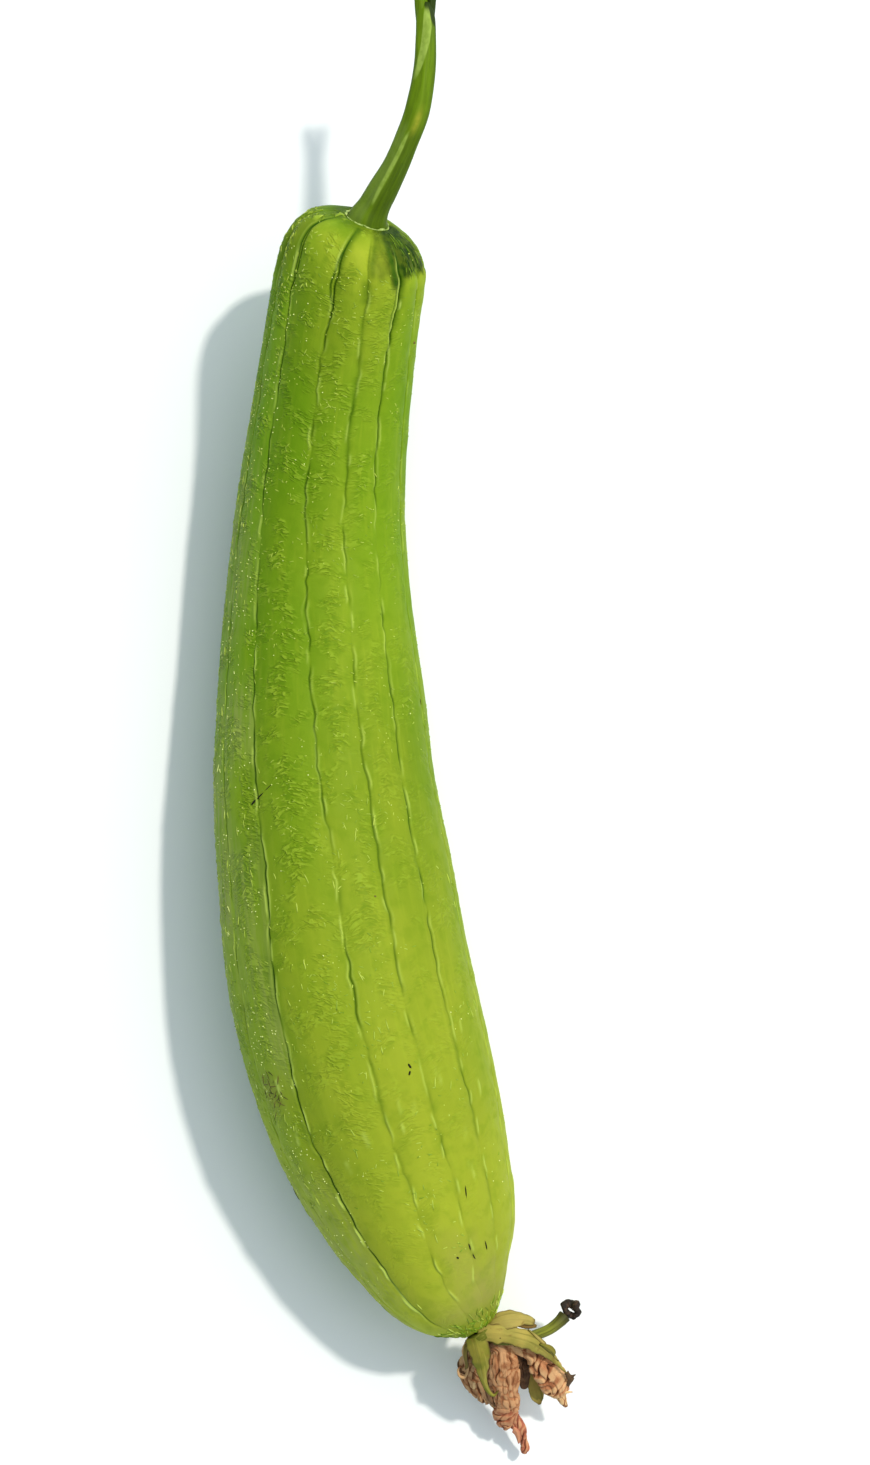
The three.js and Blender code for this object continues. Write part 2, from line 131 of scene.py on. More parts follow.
# Stations and angles in degrees, each with how yellow, how much painted shade or how wrinkled the
# skin is.
# Along the fruit the yellow is ripeness towards the tip, and its rise on the shoulder is painted
# light where the shoulder faces the sun.
YELLOW_ALONG = [
    [0, 0.3], [5, 0.6], [20, 0.35], [60, 0.18], [160, 0.3], [250, 0.5], [330, 0.8], [350, 1],
    [362, 1.15], [370, 0.8],
]
# Round the fruit the skin is painted paler and yellower on the sunlit top and right, and less so on
# the left and underneath: painted light.
PAINTED_LIGHT_AROUND = [
    [-180, -0.1], [-120, -0.3], [-60, -0.15], [-40, -0.11], [-15, 0], [10, 0.12], [35, 0.12],
    [50, 0.1], [66, 0.02], [90, 0.05], [180, -0.1],
]
# Painted shade by angle, which flattens the lights' shading: least on the left flank, most on the
# top and the lit right.
PAINTED_SHADE_AROUND = [
    [-180, 0.15], [-110, 0.05], [-60, 0], [-48, 0.11], [-36, 0.24], [-8, 0.28], [7, 0.28],
    [22, 0.25], [110, 0.2], [180, 0.15],
]
# More painted shade on the lit right of the thick half.
PAINTED_SHADE_THICK_HALF = [
    [-50, 0], [-36, 0.05], [-8, 0.02], [7, 0.05], [22, 0.12], [52, 0.18], [110, 0],
]
WRINKLED_ALONG = [[200, 1], [300, 0.5], [356, 0.2]]
WRINKLED_AROUND = [[-60, 1.7], [-30, 1.1], [0, 1], [40, 0.5], [90, 0.4]]
# The dark patch on the right shoulder: angle, strength beside the stem and station of its end.
# The patch is partly the skin's own deep green and partly a painted shadow of a leaf that is not
# built.
PATCH_STRENGTH = [[17, 0], [22, 0.4], [33, 0.6], [43, 0.95]]
PATCH_ENDS = [[20, 13], [35, 13], [45, 17], [58, 11.5], [110, 12.5]]
PATCH_SIDE = 52

# Raised strokes on the skin, strewn at random: how many, first and last station, first and last
# angle, mean heading and its spread in degrees, and the least and greatest half length, half
# width, height and tone. The first four kinds are crowded in patches.
SPECKS = [1500, 3, 350, -115, 115, 0, 60, 0.18, 0.32, 0.18, 0.28, 0.1, 0.2, 0.6, 1.0]
WRINKLES = [3100, 3, 345, -115, 115, 20, 48, 0.4, 1.2, 0.15, 0.22, 0.1, 0.2, 0.2, 0.7]
DOTS = [640, 8, 350, -115, 115, 0, 60, 0.18, 0.3, 0.17, 0.26, 0.18, 0.3, 1.1, 1.6]
DASHES = [260, 195, 357, -115, 115, 90, 14, 1.2, 2.4, 0.18, 0.26, 0.15, 0.26, 0.4, 0.8]
SHOULDER_DASHES = [45, 2, 26, -95, -30, 84, 30, 0.5, 1.4, 0.15, 0.22, 0.12, 0.25, 0.6, 1.1]
PATCH_STREAKS = [60, 0.5, 10, 52, 125, 90, 7, 1.2, 2.8, 0.09, 0.14, 0.08, 0.12, -0.4, 0.25]
TIP_HAIRS = [150, 364.2, 369.8, -115, 115, 90, 32, 0.7, 2.2, 0.09, 0.15, 0.15, 0.4, -0.2, 1.1]
FLANK_DOTS = [420, 30, 335, -96, -38, 0, 60, 0.18, 0.3, 0.17, 0.26, 0.18, 0.3, 1.1, 1.7]
FLANK_DASHES = [170, 60, 345, -98, -58, 85, 20, 0.7, 2, 0.15, 0.22, 0.12, 0.24, 0.7, 1.25]
CROWDED = (SPECKS, WRINKLES, DOTS, DASHES)
EVEN = (SHOULDER_DASHES, PATCH_STREAKS, TIP_HAIRS, FLANK_DOTS, FLANK_DASHES)
# They crowd by a noise that is read as if the skin had one radius, are left out lower than
# LOWEST_STROKE over the floor, and reach a little way into the skin.
SKIN_RADIUS = 35
LOWEST_STROKE = 4
STROKE_SINK = 0.07
STROKE_CORNERS = 6
STROKE_SEED = 31
# Dark marks: station, angle and heading in degrees, half length, half width, height and tone.
# The mark at station 309, on the left edge, is a painted shadow of a lobe; the rest are the skin's
# own marks.
MARKS = [
    [192.6, -37.6, 142, 1.5, 0.42, 0.36, 0], [191, -33.6, 148, 2, 0.26, 0.3, 0],
    [188.8, -28.6, 148, 1.9, 0.16, 0.16, 0.1], [277, 19.4, 66, 1.1, 0.44, 0.4, 0],
    [278.7, 18.4, 120, 0.9, 0.4, 0.4, 0], [325.5, 31.4, 97, 2.5, 0.24, 0.34, 0],
    [344.6, 39.3, 90, 2, 0.24, 0.34, 0], [344.6, 15, 60, 0.6, 0.42, 0.3, 0.1],
    [342.6, 26, 84, 1.6, 0.3, 0.3, 0.25], [346.6, 27.6, 86, 1.4, 0.26, 0.3, 0.15],
    [225.9, 19.5, 20, 0.5, 0.35, 0.2, 0.6], [162.4, 73.8, 90, 1.3, 0.3, 0.2, 0.3],
    [38, 78, 30, 0.6, 0.5, 0.5, 1], [309, -84, 82, 2.6, 0.3, 0.3, 0],
]
# The brown scar on the left flank: the middle and spread of its station and angle, how many
# fibres it has, and the ranges of their heading, half length, half width, height and tone.
SCAR_MIDDLE = (275.5, -54)
SCAR_SPREAD = (3.4, 4.6)
SCAR_FIBRES = 26
FIBRE_SEED = 33
FIBRE_RANGES = ((0, 180), (0.7, 2.4), (0.12, 0.18), (0.12, 0.22), (0.2, 0.8))

# The pale collar on the shoulder round the stem: its tube has COLLAR_SIDES round and across.
COLLAR_STATION = 0.3
COLLAR_RADIUS = 6.9
COLLAR_TUBE = 0.45
COLLAR_SIDES = (120, 16)

# Parts of the stem: name, sides, ridges and their depth, then rows of x, y, z and radius.
STEM_STEP = 0.6
STEM = {
    "stem_stalk": (120, 5, 0.045, [
        [13.1, 194.6, 64.4, 6.7], [13.6, 196, 65.3, 6.1], [15.2, 199, 67, 5],
        [17.8, 203.6, 69.6, 4.6], [21.6, 210.4, 72.6, 4], [24.9, 217.6, 75.4, 3.8],
        [28.6, 227.4, 78.2, 3.9], [30.8, 239.5, 80.2, 3.4], [31.2, 250, 81, 3.1],
        [31.1, 257.5, 81.2, 2.7], [31.1, 260.5, 81.2, 1.6],
    ]),
    "stem_left_shoot": (32, 4, 0.05, [
        [30.7, 253, 81.2, 2], [30.1, 258.5, 81.3, 2.05], [29.7, 262.5, 81.6, 1.9],
        [29.4, 267, 82, 1.9],
    ]),
    "stem_right_shoot": (32, 4, 0.05, [
        [31.9, 253, 80.8, 1.7], [32.7, 258.5, 80.6, 1.5], [33.2, 262.5, 80.3, 1.35],
        [33.6, 267, 80, 1.3],
    ]),
}
# The radius of the round on which a stalk's noise is read, whatever its own radius.
STALK_GRAIN = 4
# Distances along the stem of the place where a leaf grew and of the fork, and two pale streaks on
# its upper side: distance along, place to the left and half width as shares of the radius.
STEM_NODE = 36
FORK_DISTANCE = 70
# The two pale streaks are painted highlight.
HIGHLIGHT_STREAKS = (
    [[7, 0.1, 0.12], [12, 0.15, 0.16], [20, 0.18, 0.2], [28, 0.1, 0.2], [33, 0, 0.1]],
    [[48, 0.75, 0.12], [54, 0.4, 0.34], [60, 0, 0.46], [65, -0.2, 0.5], [71, -0.2, 0.3]],
)

# The withered flower is measured from the tip of the fruit.
TIP = np.array([48.6, -157.3, 36.8])
TIP_AXIS = np.array([0.53, -0.845, -0.06])
# Sepals: seed, how brown, green and tan, then rows of x, y, z, half width and roll in degrees.
SEPALS = {
    "sepal_lower_left": (41, 0, 0.4, 0, [
        [-1.4, -2.2, 3.1, 3.1, -14], [-0.5, -5.8, 3.5, 3.4, -12], [0.2, -9, 2.6, 3.1, -6],
        [0.6, -12, 0.8, 2.2, 0], [1, -15.2, -1.6, 1.4, 6], [1.6, -18.2, -4, 0.95, 10],
        [2.8, -20.9, -6.6, 0.7, 12], [4.6, -22.4, -8.2, 0.5, 12], [6.1, -20.8, -8.2, 0.25, 12],
    ]),
    "sepal_short_right": (42, 0, 0, 0.6, [
        [2.2, 0.8, 1.8, 1.9, 34], [7.6, 3.1, 2.9, 3, 24], [11.4, 3.6, 2.6, 2.7, 20],
        [14.6, 3.3, 1.6, 1.9, 20], [17.4, 2.3, 0.6, 1, 22],
    ]),
    "sepal_long_right": (43, 0, 0, 0.35, [
        [-0.6, -0.2, 3.4, 2.2, 4], [2.8, -0.8, 3.9, 2.9, 8], [7.2, -1.1, 4, 3.1, 6],
        [11.4, -1.9, 3.4, 3.1, 6], [15.2, -3.2, 2, 2.9, 10], [18.4, -5.2, 0, 2.4, 12],
        [21.4, -7.8, -2.8, 1.8, 14], [23.8, -10.1, -5.2, 1.2, 16], [25.6, -12.6, -7.1, 0.65, 18],
        [28, -15.4, -9.4, 0.25, 20],
    ]),
    "sepal_left_edge": (44, 0.6, 0.4, 0, [
        [-3.2, -3, 0.9, 1.4, -60], [-4.4, -5.8, 0.4, 1.6, -66], [-4.6, -9, -1.2, 1.3, -60],
        [-4.2, -11.8, -3.6, 0.9, -50], [-4.4, -13.4, -5, 0.3, -50],
    ]),
    "sepal_under": (45, 0.1, 0, 0.45, [
        [1.4, -0.6, -4, 2.2, 172], [8, -3.8, -8.6, 2.5, 172], [13.6, -10.4, -12.6, 2.5, 174],
        [16.8, -16.8, -16.4, 2.7, 178], [18.2, -21, -18.4, 2.7, 184], [19, -24.6, -19.4, 2, 190],
        [19.6, -27, -20, 0.5, 194],
    ]),
    "sepal_fold": (47, 0.9, 0, 0, [
        [10.6, 1.5, 1.3, 0.3, 30], [13.6, 1.3, 1, 0.9, 34], [16.2, 1.2, 0.4, 1.1, 36],
        [18, 1, -0.2, 0.6, 36],
    ]),
    "sepal_flap": (48, 0.2, 0.5, 0, [
        [19.2, -4.6, 1.2, 0.4, -20], [21.6, -5.8, -0.4, 1, -14], [23.4, -7.4, -2.2, 0.9, -6],
        [23.8, -9, -4, 0.3, 0],
    ]),
    "sepal_rim": (49, 0, 0, 0.7, [
        [15.4, 0.2, 2.2, 0.2, 10], [18, -2.2, 1.2, 0.45, 14], [20.4, -4.9, -0.6, 0.5, 18],
        [22.8, -7.8, -3, 0.45, 20], [25.2, -10.8, -5.6, 0.2, 20],
    ]),
}
# The cup that carries the sepals: distance along the tip's axis and radius.
CUP = [
    [0.2, 4.4], [0.4, 4.9], [1.1, 5.1], [2, 5.05], [2.8, 4.9], [3.1, 4.5], [3, 4], [2.4, 3.8],
    [1.5, 3.7],
]
CUP_SIDES = 72
CUP_SEED = 46
# Petals, no lower than LOWEST_PETAL over the floor: spacing of the folds, their heading across
# the petal in degrees, how far they stray, how deep the creases are, and how pink, cream and dark
# the petal is, then rows of x, y, z, half width, half thickness and roll in degrees.
# Cream is laid on the folds' tops, partly as painted highlight.
PETALS = {
    "petal_centre": (2, 5, 1.25, 0.28, 0.05, 0.1, 0, [
        [3, -3.6, -0.6, 2, 1.8, 0], [6.2, -6, -2.4, 3.2, 2, 4], [7.3, -10.1, -4.8, 4, 2.3, 6],
        [7.9, -15.5, -8.8, 4.4, 2.5, 4], [8.2, -21, -13.2, 4.3, 2.5, 0],
        [9.2, -25.6, -17.2, 4, 2.3, -4], [10.2, -29, -20.4, 2.4, 1.6, -8],
    ]),
    "petal_knot": (2.8, 52, 2.2, 0.46, 0.35, 0.05, 0.05, [
        [8.4, -23.6, -15.8, 2.4, 1.8, 10], [8.7, -26.6, -18.2, 3.6, 2.5, 4],
        [8.5, -30, -21.2, 3.8, 2.5, -6], [8.3, -33, -23.4, 3, 2.1, -12],
        [8.6, -35.2, -24.6, 1.6, 1.2, -16], [8.8, -36, -25, 0.5, 0.5, -16],
    ]),
    "petal_twist": (2.2, 14, 1.2, 0.34, 0.6, 0.1, 0, [
        [10.4, -30.4, -22, 1.6, 1.3, -10], [12.2, -33.8, -24.2, 2.3, 1.4, -20],
        [13.6, -37, -26, 2.2, 1.3, -46], [14.5, -40, -27.6, 1.6, 1.2, -80],
        [15, -42.4, -28.6, 1.8, 1.4, -120], [14.7, -44.2, -29.2, 1, 0.9, -150],
    ]),
    "petal_left": (2.2, 22, 1.6, 0.46, 0, 0.35, 0.2, [
        [1.6, -4, -1.4, 1.8, 1.5, 0], [-1.2, -7.6, -4.2, 2, 1.6, -6],
        [-3.6, -10.8, -6.8, 2.6, 1.9, -10], [-3.4, -14.6, -9.8, 3.2, 2.2, -8],
        [-1.8, -18.8, -13, 3.4, 2.3, 0], [0.8, -22.4, -16.4, 3, 2, 8],
        [3, -25.6, -19.4, 1.7, 1.3, 14],
    ]),
    "petal_between": (1.8, 4, 1.4, 0.34, 0, 0, 0.6, [
        [2, -4.4, -1.4, 1.6, 1.4, 0], [2.8, -9.2, -4.4, 2, 1.6, 0], [3.2, -14, -8, 2.3, 1.9, 0],
        [3.6, -19, -12, 2.5, 2, 4], [4.6, -23.4, -16, 2.3, 1.8, 8],
        [5.8, -26.8, -19.2, 1.3, 1.1, 8],
    ]),
    "petal_right": (3.5, 60, 2.4, 0.4, 0.12, 0.35, 0, [
        [3.4, -3.8, -2, 1.7, 1.5, 0], [10.4, -5.6, -4.6, 2.2, 1.8, 10],
        [17.1, -8.5, -6.6, 2.9, 2.5, 16], [20, -12.4, -9.4, 4.4, 3.1, 20],
        [22.8, -16.4, -12.6, 5.1, 3.3, 20], [25, -19.8, -15.4, 4.8, 3, 16],
        [26.4, -22.8, -17.6, 2.8, 2, 8],
    ]),
    "petal_tail": (1.8, 40, 1.2, 0.34, 0, 0.8, 0.1, [
        [24.6, -20.6, -16.6, 1.4, 1.2, 0], [26.2, -23.6, -18.6, 1.9, 1.4, 30],
        [27.2, -26, -20, 1.5, 1.2, 60], [28.2, -27.8, -20.8, 0.6, 0.6, 80],
    ]),
    # The inner and under petals' dark is partly painted shade deep inside the flower.
    "petal_inner": (2, 10, 1.4, 0.3, 0, 0, 0.85, [
        [5, -4.6, -3, 1.6, 1.4, 0], [9.6, -7.6, -6.6, 2, 1.5, 4], [12.8, -12, -10.6, 2.3, 1.6, 8],
        [14.2, -16.8, -14.6, 2.2, 1.5, 10], [14.6, -21, -18.2, 1.2, 1, 10],
    ]),
    "petal_under_right": (2, 10, 1.4, 0.3, 0, 0, 0.7, [
        [3.6, -4.2, -2.6, 1.6, 1.4, 0], [7.4, -11, -11, 2.3, 1.7, 12],
        [9.4, -17, -17.4, 2.4, 1.7, 16], [11, -22, -23, 1.4, 1.1, 20],
    ]),
    "petal_under_left": (2, 10, 1.4, 0.3, 0, 0, 0.7, [
        [1.8, -4, -2.8, 1.6, 1.4, 0], [-0.2, -9.2, -10.4, 2.2, 1.7, -16],
        [-1.4, -14.4, -16.8, 2.2, 1.6, -20], [0.4, -20.4, -22.4, 1.4, 1.1, -20],
    ]),
}
PETAL_SIDES = 120
PETAL_STEP = 0.26
PETAL_SEED = 50
LOWEST_PETAL = 0.3
# Torn scraps and curled edges of the petals: how dark, pink and cream, then rows as a sepal's.
SCRAPS = {
    "scrap_dark": (0.85, 0, 0.3, [
        [28, -15.2, -9.8, 0.7, 20], [29.2, -17.6, -12.4, 1.2, 30], [28.8, -20, -15.4, 0.8, 40],
        [28, -21.6, -17, 0.3, 40],
    ]),
    "scrap_spike": (0.9, 0, 0.3, [
        [28.6, -16.6, -11.8, 0.7, 0], [29.8, -16.8, -12, 0.5, 0], [31, -16.2, -12, 0.15, 0],
    ]),
    "scrap_left": (0.8, 0, 0, [
        [-3.6, -15.4, -8.4, 0.9, -30], [-5.6, -14, -8, 1.3, -40], [-6.8, -12, -7.6, 0.8, -60],
        [-6.4, -10.6, -7.4, 0.3, -60],
    ]),
    "scrap_low": (0, 0, 1, [
        [3.4, -24.4, -18, 0.6, 10], [4.4, -26.8, -20, 0.8, 30], [5.6, -28.6, -21.6, 0.3, 40],
    ]),
    "curl_rim": (0.15, 0, 0.5, [
        [-4.1, -3.6, 1.2, 0.5, -30], [-5.1, -6.4, -0.3, 0.62, -30], [-5, -9.4, -2.5, 0.62, -25],
        [-4.3, -12, -4.7, 0.56, -15], [-3.9, -14.5, -6.6, 0.56, -10], [-4.9, -16.5, -7.8, 0.5, 0],
        [-6.4, -15.9, -7.5, 0.44, 0], [-6.9, -14.1, -6.9, 0.38, 0], [-6, -12.6, -5.9, 0.25, 0],
    ]),
    "curl_pink": (0, 0.3, 0.9, [
        [-1.7, -18.2, -9.6, 0.38, 0], [-1.9, -20.2, -11.4, 0.53, 0], [-1.8, -22.2, -13.9, 0.25, 0],
    ]),
    "curl_triangle": (0, 1, 0, [
        [11.2, -34.8, -22.6, 0.4, 0], [12.2, -36.6, -24.2, 1.2, -10],
        [12.7, -38.8, -25.8, 0.8, -10], [12.9, -40.6, -26.8, 0.3, -10],
    ]),
    "curl_left": (0.3, 0, 0.3, [
        [-0.2, -18.2, -9.5, 0.5, 0], [0.8, -21, -12.2, 0.75, 10], [1.1, -23, -14.3, 0.62, 10],
        [0.6, -24.8, -16.5, 0.31, 0],
    ]),
    "curl_low": (0.4, 0, 0.2, [
        [1.4, -21.4, -12.5, 0.5, -10], [2, -24, -15.4, 0.75, -10], [3.2, -25.7, -17.1, 0.62, 0],
        [4.6, -26.8, -18.3, 0.31, 0],
    ]),
    "curl_between": (0.2, 0, 0.2, [
        [3.8, -10.8, -3.5, 0.38, 0], [3.6, -14, -5.5, 0.62, 0], [4, -16.8, -7.9, 0.62, 0],
        [5, -19.8, -10.7, 0.38, 0],
    ]),
    "curl_hook": (0.5, 0, 0, [
        [6.9, -26.2, -15.1, 0.44, 0], [6.7, -23.6, -12.6, 0.62, 0], [6.3, -21.2, -10.1, 0.56, 0],
        [5.3, -22.3, -11.5, 0.31, 0],
    ]),
    "curl_white": (0.3, 0, 0.8, [
        [14.4, -8.8, -6.4, 0.3, 0], [16, -10.6, -6.6, 0.7, 0], [17.4, -12.3, -7.4, 0.3, 0],
    ]),
    "curl_cream": (0, 0, 1, [
        [25.8, -21.9, -14.9, 0.3, 0], [28, -22.3, -15.3, 0.5, 0], [30, -22.5, -16.6, 0.25, 0],
    ]),
}
SCRAP_SEED = 150
# Thickness, keel, ruffle and tear of a thin sheet, its points across and its step along.
SEPAL_SHEET = (0.55, 0.3, 0.3, 0.12, 22, 0.4)
SCRAP_SHEET = (0.4, 0.2, 0.5, 0.3, 16, 0.25)
# The style: x, y and z from the tip, and radius, then its sides, step, ridges and their depth,
# seed and roughness.
STYLE = [
    [3.4, -3.9, 0.2, 1], [9, -4, 0.2, 1.1], [13.6, -3.4, -1.6, 1.5], [18.9, -2.2, -5.6, 1.75],
    [22.6, -1, -8.4, 1.8], [25.8, 1.2, -10.4, 1.95], [27.4, 2.8, -11.2, 2.15],
]
STYLE_STALK = (36, 0.4, 5, 0.03, 61, 0.06)
# The stigma: its middle from the tip, how far it reaches at each angle in degrees from +X, the
# slot through it as half length, half width and heading, and its half height.
STIGMA_MIDDLE = (29.5, 4.6, -11.9)
STIGMA_REACH = [
    [-180, 2.7], [-133, 2.6], [-87, 3], [-77, 3.4], [-62, 3.4], [-52, 3.1], [-37, 3.5],
    [-11, 3.5], [8, 2.9], [19, 2.7], [33, 3.7], [50, 4.1], [72, 3.3], [90, 3.35], [115, 3.8],
    [132, 3.8], [150, 4], [162, 3.3], [180, 2.7],
]
STIGMA_SLOT = (1.15, 0.3, -33)
STIGMA_HALF_HEIGHT = 1.5
STIGMA_SIDES = (120, 32)

# The camera looks straight down, and its lens fits the image's height.
CAMERA_PLACE = (34.2, 33.8, 1500)
LENS_MM = 112.27
SENSOR_MM = 36
CLIP_END = 20
FLOOR_SIZE = 6000
# Lights: the way to each from the object, its angle across, strength and colour.
CLEAR_SUN = ([0.45, 0.43, 1.0], 3, 2.1, (1.0, 0.95, 0.86))
WIDE_LIGHT = ([0.5, 0.4, 1.0], 85, 1.63, (1.0, 0.995, 0.98))
SKY_COLOR = (0.68, 0.88, 1.0)
SKY_STRENGTH = 0.37


def rgb(red, green, blue):
    """A linear colour from red, green and blue as a screen shows them, from 0 to 255."""
    shown = np.array([red, green, blue]) / 255
    linear = np.where(shown <= 0.04045, shown / 12.92, ((shown + 0.055) / 1.055) ** 2.4)
    return (*linear.tolist(), 1.0)


# Rows, curves and noise


def smooth_rows(rows, places):
    """Values of a smooth curve through rows whose first column is the place along it."""
    rows = np.asarray(rows, float)
    at, values = rows[:, 0], rows[:, 1:]
    count = len(at)
    before = np.maximum(np.arange(count) - 1, 0)
    after = np.minimum(np.arange(count) + 1, count - 1)
    slopes = (values[after] - values[before]) / (at[after] - at[before])[:, None]
    i = np.clip(np.searchsorted(at, places, side="right") - 1, 0, count - 2)
    span = (at[i + 1] - at[i])[:, None]
    t = (places - at[i])[:, None] / span
    start = (1 + 2 * t) * (1 - t) ** 2
    leaving = slopes[i] * t * (1 - t) ** 2 * span
    arriving = slopes[i + 1] * t * t * (t - 1) * span
    return values[i] * start + values[i + 1] * (1 - start) + leaving + arriving


def straight_rows(rows, places):
    """Values on straight lines through rows, one array for each column after the first."""
    rows = np.asarray(rows, float)
    return [np.interp(places, rows[:, 0], column) for column in rows[:, 1:].T]


def with_distance(rows):
    """Rows that begin with a point, with their distance along the chain put first."""
    rows = np.asarray(rows, float)
    steps = np.linalg.norm(np.diff(rows[:, :3], axis=0), axis=1)
    return np.column_stack([np.concatenate([[0], np.cumsum(steps)]), rows])


def progress(values, start, end):
    """How far values have come on their way from start to end, from 0 to 1."""
    return np.clip((values - start) / (end - start), 0, 1)


def tapered(share, steepness):
    """From 0 at both ends of a stretch to 1 inside it, for shares of the way along it."""
    return np.clip(steepness * share, 0, 1) * np.clip(steepness * (1 - share), 0, 1)


def bump_shape(distance, half_width):
    return np.exp(-((distance / half_width) ** 2))


def turns(count):
    """Angles that go once round in even steps."""
    return 2 * np.pi * np.arange(count) / count


def unit(vectors):
    return vectors / np.linalg.norm(vectors, axis=-1, keepdims=True)


def frames_along(rows, places, step=0.2):
    """Points of a curve, its directions, level side vectors and upper side vectors."""
    point = smooth_rows(rows, places)[:, :3]
    ahead = smooth_rows(rows, places + step)[:, :3]
    along = unit(ahead - smooth_rows(rows, places - step)[:, :3])
    side = unit(np.cross([0, 0, 1], along))
    return point, along, side, np.cross(along, side)


def rolled(side, upper, degrees):
    """Side and upper vectors, rolled about the curve so that a positive roll lowers the side."""
    turn = np.radians(degrees)[:, None]
    lower = side * np.cos(turn) - upper * np.sin(turn)
    return lower, upper * np.cos(turn) + side * np.sin(turn)


def stepped(rows, step):
    """Even places along rows of points, the rows' values there, and points, sides and uppers.

    Where rows have more than one value, the last one is their roll in degrees.
    """
    measured = with_distance(rows)
    length = measured[-1, 0]
    places = np.linspace(0, length, int(np.ceil(length / step)) + 1)
    values = smooth_rows(measured, places)[:, 3:]
    point, _, side, upper = frames_along(measured, places)
    if values.shape[1] > 1:
        side, upper = rolled(side, upper, values[:, -1])
    return places[:, None], values, (point, side, upper)


def lumps(points, size, seed):
    """Smooth noise from -1 to 1 at each point, with lumps of about the given size."""
    cells = 32
    lattice = np.random.default_rng(seed).uniform(-1, 1, (cells, cells, cells))
    place = np.asarray(points, float) / size
    low = np.floor(place).astype(int)
    share = place - low
    share = share * share * (3 - 2 * share)
    total = np.zeros(place.shape[:-1])
    for corner in np.ndindex(2, 2, 2):
        weight = np.prod(np.where(corner, share, 1 - share), axis=-1)
        x, y, z = np.moveaxis((low + corner) % cells, -1, 0)
        total += weight * lattice[x, y, z]
    return total


def grid_of(*parts):
    """Coordinates on a grid from arrays that are each a row, a column, a grid or a number."""
    return np.stack(np.broadcast_arrays(*parts), axis=-1).astype(float)


def line_path(stations, line, layer=0):
    """Coordinates for noise along a line, far from those of the other lines."""
    return grid_of(stations, LINE_SPACING * line, layer)


# Meshes


def loft_faces(rings, sides):
    """Faces over rings of points, with the first and last ring closed by a fan."""
    first = np.arange(rings - 1)[:, None] * sides
    column = np.arange(sides)[None, :]
    a = first + column
    b = first + (column + 1) % sides
    quads = np.stack([a, b, b + sides, a + sides], axis=-1).reshape(-1, 4).tolist()
    start, end, last = rings * sides, rings * sides + 1, (rings - 1) * sides
    fans = []
    for j in range(sides):
        after = (j + 1) % sides
        fans.append((start, after, j))
        fans.append((end, last + j, last + after))
    return quads + fans


def placed(name, data):
    """A new object of the scene that shows the data."""
    thing = bpy.data.objects.new(name, data)
    bpy.context.scene.collection.objects.link(thing)
    return thing


def make_piece(name, points, faces, material, slot, node=None, **values):
    """A smooth mesh from points in millimetres, which rides with the part."""
    points = np.asarray(points, float).reshape(-1, 3)
    mesh = bpy.data.meshes.new(name)
    mesh.from_pydata((points * MM).tolist(), [], faces)
    values.setdefault("place", points)
    for key, value in values.items():
        kind, field = ("FLOAT_VECTOR", "vector") if np.ndim(value) == 2 else ("FLOAT", "value")
        layer = mesh.attributes.new(key, kind, "POINT")
        layer.data.foreach_set(field, np.ascontiguousarray(value, np.float32).ravel())
    mesh.polygons.foreach_set("use_smooth", np.ones(len(mesh.polygons), bool))
    mesh.materials.append(material)
    mesh.update()
    piece = placed(name, mesh)
    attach(piece, "root")
    if node:
        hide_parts(node)


def loft_piece(name, rings, material, slot, node, **values):
    """A closed piece over rings of points, with values for its points or for all of it."""
    count, sides = rings.shape[:2]
    middles = [rings[0].mean(0), rings[-1].mean(0)]
    points = np.concatenate([rings.reshape(-1, 3), middles])
    spread = {}
    for key, value in values.items():
        full = np.broadcast_to(value, (count, sides, *np.shape(value)[2:]))
        flat = full.reshape(count * sides, -1)
        ends = np.stack([flat[:sides].mean(0), flat[-sides:].mean(0)])
        joined = np.concatenate([flat, ends])
        spread[key] = joined if full.ndim == 3 else joined[:, 0]
    make_piece(name, points, loft_faces(count, sides), material, slot, node, **spread)


def turned_points(point, side, upper, sideways, upwards):
    """Rings of points from offsets sideways and upwards, one row of offsets for each ring."""
    offsets = side[:, None] * sideways[..., None]
    return point[:, None] + offsets + upper[:, None] * upwards[..., None]


def ring_tube(name, middle, out, axis, across, upwards, material, slot, node=None):
    """A closed ring: a tube round a middle line, from its offsets outwards and along the axis."""
    rings = middle[:, None] + out[:, None] * across[..., None] + axis * upwards[..., None]
    count, sides = rings.shape[:2]
    a = np.arange(count)[:, None] * sides + np.arange(sides)[None, :]
    b = np.roll(a, -1, axis=1)
    faces = np.stack([a, b, np.roll(b, -1, axis=0), np.roll(a, -1, axis=0)], axis=-1)
    make_piece(name, rings, faces.reshape(-1, 4).tolist(), material, slot, node)


# Materials


